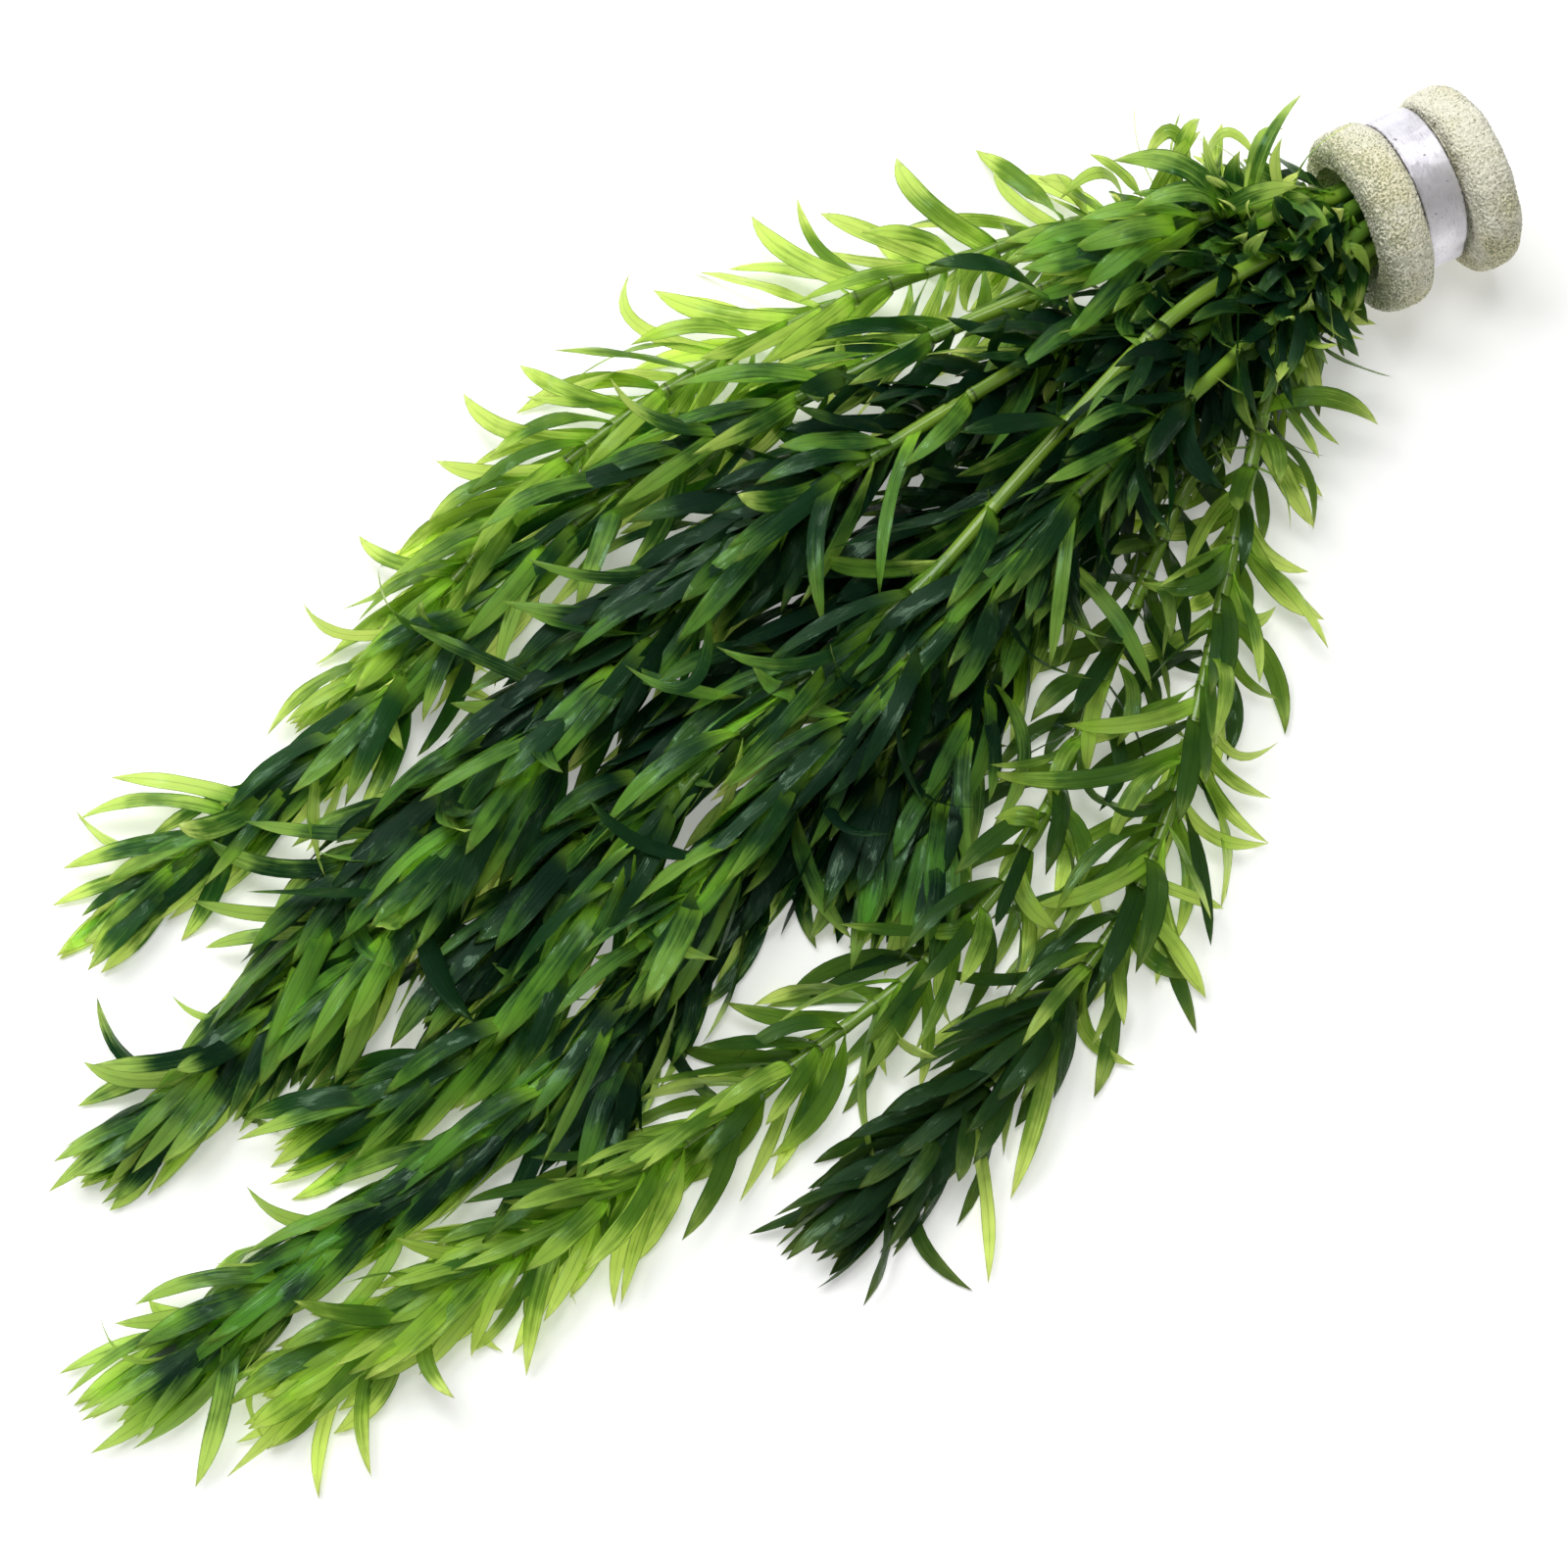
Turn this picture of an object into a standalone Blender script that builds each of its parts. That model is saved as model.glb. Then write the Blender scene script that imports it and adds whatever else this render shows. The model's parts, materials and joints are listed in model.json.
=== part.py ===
"""Shop bunch of Brazilian waterweed: fourteen leafy shoots in a foam collar, squeezed by a strip of lead.

The bunch lies on the surface z = 0. The collar lies along X, the shoots fan out towards -X, and the origin
is the centre of the flat on which the collar's plant end rests. Sizes are in millimetres until a mesh is done.
"""

import math
import random
from itertools import combinations

import bmesh
import bpy
import numpy as np
from mathutils import Matrix, Vector
from mathutils.bvhtree import BVHTree

MM = 0.001
PART_NAME = "waterweed_bunch"

# Foam collar: a sponge strip rolled round the stems, with a puffy lobe on each side of its waist, which
# the lead strip has pulled over to one side
AXIS_HEIGHT = 12.0
FOAM_RADIUS = 12.3
FOAM_BORE = 6.4
FOAM_MOUTH = 8.2
FOAM_MOUTH_DEPTH = 3.0
FOAM_WAIST = 9.0
WAIST_SHIFT = 1.6
PLANT_LOBE = 7.2
FAR_LOBE = 6.2
LOBE_POINTS = 7
LOBE_FULLNESS = 0.6
FOAM_STEPS = 28
SEAM_WIDTH = 0.5
SEAM_ANGLE = math.radians(15)

# Lead strip: bent round the foam's waist, one end lapped over the other
STRIP_WIDTH = 5.8
STRIP_THICKNESS = 0.6
STRIP_GAP = 0.3
STRIP_START = math.radians(200)
STRIP_LAP = math.radians(50)
LAP_CLIMB = math.radians(20)
LAP_GAP = 0.2
STRIP_STEPS = 36

PLANT_END = -PLANT_LOBE / 2
WAIST_START = PLANT_END + PLANT_LOBE
WAIST_END = WAIST_START + STRIP_WIDTH
FAR_END = WAIST_END + FAR_LOBE

# Stems
STEM_SIDES = 6
STEM_RADIUS = 1.25
STEM_TIP_RADIUS = 0.75
STEM_STEP = 3.0
CURVE_PARTS = 20
CUT_END_DEPTH = 0.2
HELD_STRAIGHT = 1.5

# Where the stems sit in the bore: four in the middle, ten round them
INNER_SLOTS = 4
OUTER_SLOTS = 10
INNER_RADIUS = 2.0
OUTER_RADIUS = 4.8
INNER_TURN = math.radians(90)
OUTER_TURN = math.radians(10)

# Room that a stem's middle keeps from the next one, at the mouth and out in the bunch, and from the surface
MOUTH_ROOM = 2.95
OPEN_ROOM = 5.2
OPEN_DISTANCE = 26.0
FLOOR_ROOM = 3.4
TIP_FLOOR_ROOM = 2.6

# How the pile settles, as shares moved in each round
SETTLE_ROUNDS = 260
PUSH_SHARE = 0.5
SIDEWAYS_SHARE = 0.4
SMOOTHING = 0.2
PULL_HOME = (0.06, 0.06, 0.01)

# Whorls
FIRST_WHORL = 5.0
TIP_WHORL = 1.5
WHORL_SPACING = (5.0, 4.8, 2.8)
SOLID_WHORL_EVERY = 3
SOLID_LEAVES = 3
BAND_HEIGHT = 1.3

# Leaves; where three values are given, they are near the collar, halfway and at the tip
LEAF_WIDTH = 3.0
LEAF_THICKNESS = 0.5
LEAF_MIDDLE = 0.42
LEAF_START_ANGLES = (66, 34, 32)
LEAF_END_ANGLES = (72, 10, 16)
LENGTH_RANGE = (0.85, 1.15)
START_RANGE = (0.85, 1.15)
END_RANGE = (0.6, 1.4)
DROOP = 0.22
MIDDLE_DROOP = 0.055
LEAF_GAP = 0.18
FLOOR_GAP = 0.05
STEM_CLEARANCE = 1.25

# Ways to lay a leaf that would touch another: shares of its length and spread, then a swing round the stem
LEAF_FOLDS = ((1, 1), (1, 0.7), (1, 1.35), (0.8, 0.6), (0.8, 1.5), (0.6, 0.6), (0.45, 0.8))
LEAF_SWINGS = (0, math.radians(22), math.radians(-22))

# Each shoot's route by hand, from just outside the mouth to the tip, with its slot in the bore, its layer in
# the pile (higher lies over lower), its leaf lengths near the collar, halfway and at the tip, and its colour
SHOOTS = {
    "shoot_01": {
        "slot": ("outer", 9), "layer": 7, "leaves": (13, 18, 14), "spread": 1.3, "material": "shoot_pale",
        "route": [(-21, 14, 10), (-38, 18, 8), (-65, 21, 6), (-87, 21, 5), (-107, 17, 5), (-126, 9, 4),
                  (-140, 1, 4)],
    },
    "shoot_02": {
        "slot": ("outer", 0), "layer": 10, "leaves": (12, 20, 16), "spread": 1.0, "material": "shoot_green",
        "route": [(-20, 7, 14), (-41, 9, 13), (-72, 10, 11), (-101, 10, 8), (-126, 3, 5), (-151, -6, 4),
                  (-174, -11, 3)],
    },
    "shoot_03": {
        "slot": ("outer", 1), "layer": 14, "leaves": (12, 15, 13), "spread": 0.8, "material": "shoot_green",
        "route": [(-10, 5, 18), (-17, 7, 18), (-25, 8, 18), (-33, 9, 17)],
    },
    "shoot_04": {
        "slot": ("inner", 3), "layer": 8, "leaves": (12, 20, 16), "spread": 1.0, "material": "shoot_dark",
        "route": [(-13, 1, 10), (-30, 2, 9), (-67, 1, 9), (-97, -3, 8), (-127, -13, 7), (-154, -22, 4),
                  (-168, -33, 4), (-186, -38, 3)],
    },
    "shoot_05": {
        "slot": ("inner", 0), "layer": 9, "leaves": (12, 20, 16), "spread": 1.0, "material": "shoot_green",
        "route": [(-13, 2, 13), (-27, 3, 13), (-56, 0, 13), (-85, -4, 12), (-113, -13, 10), (-140, -25, 8),
                  (-158, -34, 6)],
    },
    "shoot_06": {
        "slot": ("outer", 2), "layer": 13, "leaves": (11, 21, 16), "spread": 1.0, "material": "shoot_green",
        "route": [(-11, -1, 18), (-30, -3, 19), (-58, -14, 18), (-79, -23, 16), (-105, -28, 14),
                  (-127, -39, 11), (-142, -48, 7), (-161, -48, 3)],
    },
    "shoot_07": {
        "slot": ("inner", 1), "layer": 6, "leaves": (12, 21, 18), "spread": 1.0, "material": "shoot_dark",
        "route": [(-15, -3, 9), (-31, -6, 8), (-57, -20, 8), (-84, -31, 8), (-111, -41, 7), (-141, -56, 6),
                  (-168, -61, 4), (-191, -66, 3)],
    },
    "shoot_08": {
        "slot": ("outer", 7), "layer": 4, "leaves": (12, 19, 16), "spread": 1.0, "material": "shoot_dark",
        "route": [(-14, -1, 7), (-31, -4, 6), (-67, -18, 6), (-102, -39, 5), (-128, -52, 5),
                  (-135, -59, 4)],
    },
    "shoot_09": {
        "slot": ("outer", 3), "layer": 12, "leaves": (11, 19, 15), "spread": 1.0, "material": "shoot_green",
        "route": [(-13, -6, 15), (-32, -13, 16), (-50, -18, 14), (-68, -24, 13), (-86, -31, 11),
                  (-101, -36, 10), (-117, -44, 7)],
    },
    "shoot_10": {
        "slot": ("outer", 5), "layer": 3, "leaves": (13, 17, 15), "spread": 1.25, "material": "shoot_pale",
        "route": [(-11, -9, 8), (-31, -16, 5), (-50, -32, 5), (-68, -48, 4), (-84, -59, 4), (-108, -65, 4),
                  (-143, -71, 4), (-180, -75, 3)],
    },
    "shoot_11": {
        "slot": ("outer", 6), "layer": 2, "leaves": (12, 16, 15), "spread": 1.1, "material": "shoot_dark",
        "route": [(-17, -5, 7), (-48, -18, 6), (-62, -26, 6), (-74, -35, 6), (-82, -42, 5), (-87, -49, 4)],
    },
    "shoot_12": {
        "slot": ("outer", 4), "layer": 11, "leaves": (11, 18, 15), "spread": 1.4, "material": "shoot_pale",
        "route": [(-9, -4, 12), (-17, -8, 10), (-26, -19, 7), (-34, -29, 5), (-46, -44, 5), (-61, -61, 4),
                  (-78, -72, 3), (-98, -80, 3), (-111, -84, 3)],
    },
    "shoot_13": {
        "slot": ("outer", 8), "layer": 1, "leaves": (12, 18, 15), "spread": 1.1, "material": "shoot_dark",
        "route": [(-23, -2, 6), (-43, -7, 6), (-61, -10, 6), (-79, -14, 6), (-98, -19, 6), (-118, -27, 6),
                  (-131, -33, 5), (-142, -37, 4)],
    },
    "shoot_14": {
        "slot": ("inner", 2), "layer": 5, "leaves": (12, 18, 16), "spread": 1.0, "material": "shoot_dark",
        "route": [(-23, -4, 9), (-44, -11, 9), (-64, -20, 9), (-79, -30, 9), (-88, -37, 8), (-93, -44, 5)],
    },
}

# Base colour, roughness and metallic value of each material
MATERIALS = {
    "foam": ((0.78, 0.76, 0.56, 1), 0.95, 0.0),
    "lead": ((0.55, 0.54, 0.60, 1), 0.38, 1.0),
    "shoot_pale": ((0.26, 0.42, 0.04, 1), 0.35, 0.0),
    "shoot_green": ((0.07, 0.22, 0.02, 1), 0.32, 0.0),
    "shoot_dark": ((0.02, 0.10, 0.02, 1), 0.30, 0.0),
}


def clear_scene():
    for thing in list(bpy.data.objects):
        bpy.data.objects.remove(thing, do_unlink=True)


def new_collection(name):
    collection = bpy.data.collections.new(name)
    bpy.context.scene.collection.children.link(collection)
    return collection


def make_materials():
    made = {}
    for name, (colour, roughness, metallic) in MATERIALS.items():
        material = bpy.data.materials.new(name)
        material.use_nodes = True
        shader = material.node_tree.nodes["Principled BSDF"]
        shader.inputs["Base Color"].default_value = colour
        shader.inputs["Roughness"].default_value = roughness
        shader.inputs["Metallic"].default_value = metallic
        material.diffuse_color = colour
        made[name] = material
    return made


def add_object(name, bm, material, collection):
    """Turn a bmesh in millimetres into a named object in metres."""
    bmesh.ops.transform(bm, matrix=Matrix.Scale(MM, 4), verts=bm.verts)
    bmesh.ops.recalc_face_normals(bm, faces=bm.faces)
    mesh = bpy.data.meshes.new(name)
    bm.to_mesh(mesh)
    bm.free()
    if material:
        mesh.materials.append(material)
    thing = bpy.data.objects.new(name, mesh)
    collection.objects.link(thing)
    return thing


def cut_box(target, name, size, centre, turn, cutters):
    """Cut a box, turned about X, out of the target."""
    bm = bmesh.new()
    bmesh.ops.create_cube(bm, size=1)
    bmesh.ops.scale(bm, vec=size, verts=bm.verts)
    bmesh.ops.rotate(bm, matrix=Matrix.Rotation(turn, 3, "X"), verts=bm.verts)
    bmesh.ops.translate(bm, vec=centre, verts=bm.verts)
    cutter = add_object(name, bm, None, cutters)
    cutter.hide_render = True
    cutter.display_type = "WIRE"
    cut = target.modifiers.new(name, "BOOLEAN")
    cut.operation = "DIFFERENCE"
    cut.solver = "EXACT"
    cut.object = cutter


def lobe_profile(start, end):
    """Outer profile of one puffy lobe, a full half oval from the waist's radius out and back."""
    middle, half = (start + end) / 2, (end - start) / 2
    points = []
    for step in range(LOBE_POINTS):
        angle = math.pi * (1 - step / (LOBE_POINTS - 1))
        along = math.copysign(abs(math.cos(angle)) ** LOBE_FULLNESS, math.cos(angle))
        out = max(math.sin(angle), 0) ** LOBE_FULLNESS
        points.append((middle + half * along, FOAM_WAIST + (FOAM_RADIUS - FOAM_WAIST) * out))
    return points


def waist_share(x, radius):
    """Share of the shift that a point of the profile takes, from 0 on the lobes' crowns to 1 in the waist."""
    if not PLANT_END + PLANT_LOBE / 2 < x < WAIST_END + FAR_LOBE / 2:
        return 0
    return (FOAM_RADIUS - radius) / (FOAM_RADIUS - FOAM_WAIST)


def make_foam_collar(material, collection, cutters):
    """Turn the sponge about X, pull its waist aside, then cut its resting flat and the seam of its ends."""
    profile = lobe_profile(PLANT_END, WAIST_START - STRIP_GAP) + lobe_profile(WAIST_END + STRIP_GAP, FAR_END)
    profile += [(FAR_END, FOAM_BORE), (PLANT_END + FOAM_MOUTH_DEPTH, FOAM_BORE), (PLANT_END, FOAM_MOUTH)]
    bm = bmesh.new()
    corners = [bm.verts.new((x, 0, radius)) for x, radius in profile]
    for start, end in zip(corners, corners[1:] + corners[:1]):
        bm.edges.new((start, end))
    collar = add_object("foam_collar", bm, material, collection)
    collar.location.z = AXIS_HEIGHT * MM
    turn = collar.modifiers.new("turn", "SCREW")
    turn.axis = "X"
    turn.steps = FOAM_STEPS
    turn.render_steps = FOAM_STEPS
    turn.use_merge_vertices = True
    turn.merge_threshold = 1e-6
    turn.use_normal_calculate = True

    waist = collar.vertex_groups.new(name="waist")
    for index, (x, radius) in enumerate(profile):
        waist.add([index], waist_share(x, radius), "REPLACE")
    pull = collar.modifiers.new("pull", "DISPLACE")
    pull.direction = "Y"
    pull.mid_level = 0
    pull.strength = WAIST_SHIFT * MM
    pull.vertex_group = waist.name

    length = 2 * (FAR_END - PLANT_END)
    cut_box(collar, "resting_flat", (length, length, length), (0, 0, -length / 2), 0, cutters)
    reach = (FOAM_WAIST + FOAM_BORE) / 2
    middle = (0, reach * math.cos(SEAM_ANGLE), AXIS_HEIGHT + reach * math.sin(SEAM_ANGLE))
    depth = 2 * (FOAM_RADIUS - FOAM_BORE)
    cut_box(collar, "seam", (length, depth, SEAM_WIDTH), middle, SEAM_ANGLE, cutters)
    return collar


def make_lead_strip(material, collection):
    """Bend the strip round the waist as an open sheet, lap its end, and give it thickness."""
    inner = FOAM_WAIST + STRIP_GAP + STRIP_THICKNESS / 2
    lap_start = 2 * math.pi - LAP_CLIMB
    bm = bmesh.new()
    edge = []
    for step in range(STRIP_STEPS + 1):
        swept = (2 * math.pi + STRIP_LAP) * step / STRIP_STEPS
        climbed = min(max((swept - lap_start) / LAP_CLIMB, 0), 1)
        radius = inner + (STRIP_THICKNESS + LAP_GAP) * climbed * climbed * (3 - 2 * climbed)
        angle = STRIP_START + swept
        edge.append(bm.verts.new((WAIST_START, radius * math.cos(angle), radius * math.sin(angle))))
    edges = [bm.edges.new(pair) for pair in zip(edge, edge[1:])]
    swept_out = bmesh.ops.extrude_edge_only(bm, edges=edges)["geom"]
    moved = [item for item in swept_out if isinstance(item, bmesh.types.BMVert)]
    bmesh.ops.translate(bm, vec=(STRIP_WIDTH, 0, 0), verts=moved)
    strip = add_object("lead_strip", bm, material, collection)
    strip.location = (0, WAIST_SHIFT * MM, AXIS_HEIGHT * MM)
    thick = strip.modifiers.new("thickness", "SOLIDIFY")
    thick.thickness = STRIP_THICKNESS * MM
    thick.offset = 0
    return strip


def slot_place(slot):
    """Side and height of a stem in the bore; angles run from +Y towards +Z."""
    ring, index = slot
    if ring == "inner":
        angle, radius = INNER_TURN + index * 2 * math.pi / INNER_SLOTS, INNER_RADIUS
    else:
        angle, radius = OUTER_TURN + index * 2 * math.pi / OUTER_SLOTS, OUTER_RADIUS
    return radius * math.cos(angle), AXIS_HEIGHT + radius * math.sin(angle)


def smooth_route(points):
    """Read points at even steps from a smooth curve, a Catmull-Rom one, through the given ones."""
    ends = [2 * points[0] - points[1]] + list(points) + [2 * points[-1] - points[-2]]
    fine = []
    for before, start, end, after in zip(ends, ends[1:], ends[2:], ends[3:]):
        for part in np.arange(CURVE_PARTS) / CURVE_PARTS:
            slope = (end - before) * part
            bend = (2 * before - 5 * start + 4 * end - after) * part ** 2
            twist = (3 * start - before - 3 * end + after) * part ** 3
            fine.append(start + (slope + bend + twist) / 2)
    fine = np.array(fine + [points[-1]])
    lengths = lengths_along(fine)
    places = np.linspace(0, lengths[-1], round(lengths[-1] / STEM_STEP) + 1)
    return np.array([[np.interp(place, lengths, fine[:, axis]) for axis in range(3)] for place in places])


def lengths_along(route):
    return np.concatenate([[0], np.cumsum(np.linalg.norm(np.diff(route, axis=0), axis=1))])


def in_collar(route):
    """Which points of a route the collar holds straight."""
    return route[:, 0] > PLANT_END - HELD_STRAIGHT


def stem_route(shoot):
    """Run from the far end of the bore, straight through it, and out along the shoot's own points."""
    side, height = slot_place(shoot["slot"])
    inside = [(x, side, height) for x in (FAR_END - CUT_END_DEPTH, (FAR_END + PLANT_END) / 2, PLANT_END)]
    route = smooth_route([np.array(point, float) for point in inside + shoot["route"]])
    route[in_collar(route), 1:] = (side, height)
    return route


def push_apart(one, two, room_one, room_two, up):
    """Moves that give two stems their room; up is 1 where the first lies over the second, and -1 under it."""
    apart = one[:, None] - two[None]
    distance = np.linalg.norm(apart, axis=2, keepdims=True)
    away = apart / distance * (SIDEWAYS_SHARE, SIDEWAYS_SHARE, 0) + np.array((0, 0, up))
    short = np.minimum(room_one[:, None], room_two[None])[:, :, None] - distance
    pushes = PUSH_SHARE * np.clip(short, 0, None) * away
    worst_one = short[:, :, 0].argmax(axis=1)
    worst_two = short[:, :, 0].argmax(axis=0)
    return pushes[np.arange(len(one)), worst_one], -pushes[worst_two, np.arange(len(two))]


def settle(routes, layers):
    """Pile the stems up: where two meet, the upper layer moves up and the lower one down to the surface."""
    homes = [route.copy() for route in routes]
    rooms, floors, free = [], [], []
    for route in routes:
        out = np.clip((PLANT_END - route[:, 0]) / OPEN_DISTANCE, 0, 1)
        rooms.append(MOUTH_ROOM + (OPEN_ROOM - MOUTH_ROOM) * out)
        floors.append(np.linspace(FLOOR_ROOM, TIP_FLOOR_ROOM, len(route)))
        free.append(~in_collar(route)[:, None])
    for _ in range(SETTLE_ROUNDS):
        moves = [np.zeros_like(route) for route in routes]
        for one, two in combinations(range(len(routes)), 2):
            up = 1 if layers[one] > layers[two] else -1
            push_one, push_two = push_apart(routes[one], routes[two], rooms[one], rooms[two], up)
            moves[one] += push_one
            moves[two] += push_two
        for route, home, move, floor, loose in zip(routes, homes, moves, floors, free):
            move[1:-1] += SMOOTHING * (route[:-2] + route[2:] - 2 * route[1:-1])
            move += (home - route) * PULL_HOME
            route += move * loose
            route[:, 2] = np.maximum(route[:, 2], floor)
    return routes


class Stem:
    """A settled stem that can be asked for its place, frame and radius at any length along it."""

    def __init__(self, route):
        self.route = route
        self.lengths = lengths_along(route)
        self.length = float(self.lengths[-1])
        self.mouth = float(np.interp(-PLANT_END, -route[:, 0], self.lengths))
        self.frames = []
        side = Vector((0, 1, 0))
        for slope in np.gradient(route, axis=0):
            tangent = Vector(slope).normalized()
            side = (side - tangent * side.dot(tangent)).normalized()
            self.frames.append((tangent, side, tangent.cross(side)))

    def place(self, along):
        point = Vector([np.interp(along, self.lengths, self.route[:, axis]) for axis in range(3)])
        index = min(int(np.searchsorted(self.lengths, along)), len(self.frames) - 1)
        radius = STEM_RADIUS + (STEM_TIP_RADIUS - STEM_RADIUS) * float(along / self.length)
        return point, self.frames[index], radius

    def out(self, along):
        """Share of the leafy length, 0 at the collar's mouth and 1 at the tip."""
        return min(max((along - self.mouth) / (self.length - self.mouth), 0), 1)

    def ring(self, along):
        point, (_, side, lift), radius = self.place(along)
        angles = [2 * math.pi * (corner + 0.5) / STEM_SIDES for corner in range(STEM_SIDES)]
        return [point + (side * math.cos(angle) + lift * math.sin(angle)) * radius for angle in angles]

    def whorls(self):
        """Lengths at which leaves grow, counted back from the tip, where they are closest."""
        places = [self.length - TIP_WHORL]
        while places[-1] > self.mouth + FIRST_WHORL:
            places.append(places[-1] - between(WHORL_SPACING, self.out(places[-1])))
        return places[:-1]

    def solid_whorls(self):
        """The whorls that the solid has, from the collar outwards; the visual model has the others too."""
        return self.whorls()[::SOLID_WHORL_EVERY][::-1]

    def cuts(self):
        """Lengths of the solid's rings: its cut end, the mouth, and both edges of each whorl's band."""
        cuts = [0, self.mouth]
        for along in self.solid_whorls():
            cuts += [along, along + BAND_HEIGHT]
        return cuts

    def shell(self):
        """The solid stem's outside, a little too thick, as something for leaves to keep clear of."""
        points, faces = [], []
        for along in self.cuts():
            centre = self.place(along)[0]
            points += [centre + (point - centre) * STEM_CLEARANCE for point in self.ring(along)]
        for start in range(0, len(points) - STEM_SIDES, STEM_SIDES):
            for side in range(STEM_SIDES):
                low, low_next = start + side, start + (side + 1) % STEM_SIDES
                faces.append((low, low_next, low_next + STEM_SIDES, low + STEM_SIDES))
        return points, faces


def between(values, share):
    """Value at a share of the length, from those near the collar, halfway and at the tip."""
    return float(np.interp(share, (0, 0.5, 1), values))


def loft_stem(bm, stem):
    """Close a tube through the stem's rings, with a point at the tip; give the faces between each two rings."""
    loops = [[bm.verts.new(point) for point in stem.ring(along)] for along in stem.cuts()]
    bands = []
    for low, high in zip(loops, loops[1:]):
        low_next = low[1:] + low[:1]
        high_next = high[1:] + high[:1]
        bands.append([bm.faces.new(corners) for corners in zip(low, low_next, high_next, high)])
    bm.faces.new(loops[0][::-1])
    tip = bm.faces.new(loops[-1])
    bmesh.ops.poke(bm, faces=[tip], offset=2 * STEM_TIP_RADIUS)
    return bands


class Leaf:
    """A flat blade on four base corners: a broad section part of the way along, then a point."""

    def __init__(self, base, tangent, outward, length, angles, droop):
        self.base = base
        self.tangent = tangent
        self.around = tangent.cross(outward)
        root = sum(base, Vector()) / len(base)
        first, last = [tangent * math.cos(angle) + outward * math.sin(angle) for angle in angles]
        self.middle = root + first * length * LEAF_MIDDLE
        self.tip = self.middle + last * length * (1 - LEAF_MIDDLE)
        self.middle.z -= droop * MIDDLE_DROOP * length
        self.tip.z = max(self.tip.z - droop * DROOP * length, 0)
        way = (self.tip - root).normalized()
        self.across = (self.around - way * self.around.dot(way)).normalized()
        self.thick = way.cross(self.across)
        lowest = min(corner.z for corner in self.corners())
        self.middle.z += max(0, FLOOR_GAP - lowest)

    def corner(self, sideways, upward, grown=0):
        across = self.across * sideways * (LEAF_WIDTH / 2 + grown)
        return self.middle + across + self.thick * upward * (LEAF_THICKNESS / 2 + grown)

    def corners(self, grown=0):
        return [self.corner(*signs, grown) for signs in ((-1, -1), (1, -1), (1, 1), (-1, 1))]

    def shell(self, grown=0):
        """Points and faces of the blade, grown by the gap that it must keep."""
        beyond = (self.tip - self.middle).normalized() * grown
        points = self.base + self.corners(grown) + [self.tip + beyond]
        faces = [(k, (k + 1) % 4, 4 + (k + 1) % 4, 4 + k) for k in range(4)]
        faces += [(4 + k, 4 + (k + 1) % 4, 8) for k in range(4)]
        return points, faces

    def grow(self, bm, face):
        """Draw the stem's face out into this blade."""
        blade = bmesh.ops.extrude_discrete_faces(bm, faces=[face])["faces"][0]
        centre = blade.calc_center_median()
        for vert in blade.verts:
            offset = vert.co - centre
            sideways = math.copysign(1, offset.dot(self.around))
            vert.co = self.corner(sideways, math.copysign(1, offset.dot(self.tangent)))
        point = bmesh.ops.poke(bm, faces=[blade])["verts"][0]
        point.co = self.tip


def joined_tree(shells):
    """One search tree for many small meshes."""
    points, faces = [], []
    for shell_points, shell_faces in shells:
        start = len(points)
        points += shell_points
        faces += [tuple(start + corner for corner in face) for face in shell_faces]
    return BVHTree.FromPolygons(points, faces)


def object_shell(thing):
    """An object's finished mesh in millimetres."""
    evaluated = thing.evaluated_get(bpy.context.evaluated_depsgraph_get())
    mesh = evaluated.to_mesh()
    points = [thing.matrix_world @ vert.co / MM for vert in mesh.vertices]
    faces = [tuple(face.vertices) for face in mesh.polygons]
    evaluated.to_mesh_clear()
    return points, faces


def place_leaf(stem, along, face, shoot, draw, obstacles):
    """Find a way for one leaf to lie that keeps clear of everything else; None when there isn't one."""
    point, (tangent, _, _), _ = stem.place(along)
    base = [vert.co.copy() for vert in face.verts]
    outward = face.calc_center_median() - point
    outward = (outward - tangent * outward.dot(tangent)).normalized()
    share = stem.out(along)
    length = between(shoot["leaves"], share) * draw.uniform(*LENGTH_RANGE)
    start = math.radians(between(LEAF_START_ANGLES, share)) * shoot["spread"] * draw.uniform(*START_RANGE)
    end = math.radians(between(LEAF_END_ANGLES, share)) * shoot["spread"] * draw.uniform(*END_RANGE)
    for shorter, spread in LEAF_FOLDS:
        for swing in LEAF_SWINGS:
            for droop in (1, 0):
                swung = Matrix.Rotation(swing, 3, tangent) @ outward
                leaf = Leaf(base, tangent, swung, length * shorter, (start * spread, end * spread), droop)
                tree = BVHTree.FromPolygons(*leaf.shell(LEAF_GAP))
                if not any(tree.overlap(obstacle) for obstacle in obstacles):
                    return leaf
    return None


def grow_shoot(number, shoot, stem, fixed, leaf_shells):
    """Loft the stem with a band at each whorl and draw the band's alternate faces out into leaves."""
    bm = bmesh.new()
    bands = loft_stem(bm, stem)
    for whorl, along in enumerate(stem.solid_whorls()):
        obstacles = fixed + ([joined_tree(leaf_shells)] if leaf_shells else [])
        for leaf_number in range(SOLID_LEAVES):
            face = bands[2 * whorl + 2][2 * leaf_number + whorl % 2]
            draw = random.Random(f"{number} {whorl} {leaf_number}")
            leaf = place_leaf(stem, along, face, shoot, draw, obstacles)
            if leaf:
                leaf.grow(bm, face)
                leaf_shells.append(leaf.shell())
    return bm


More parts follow.
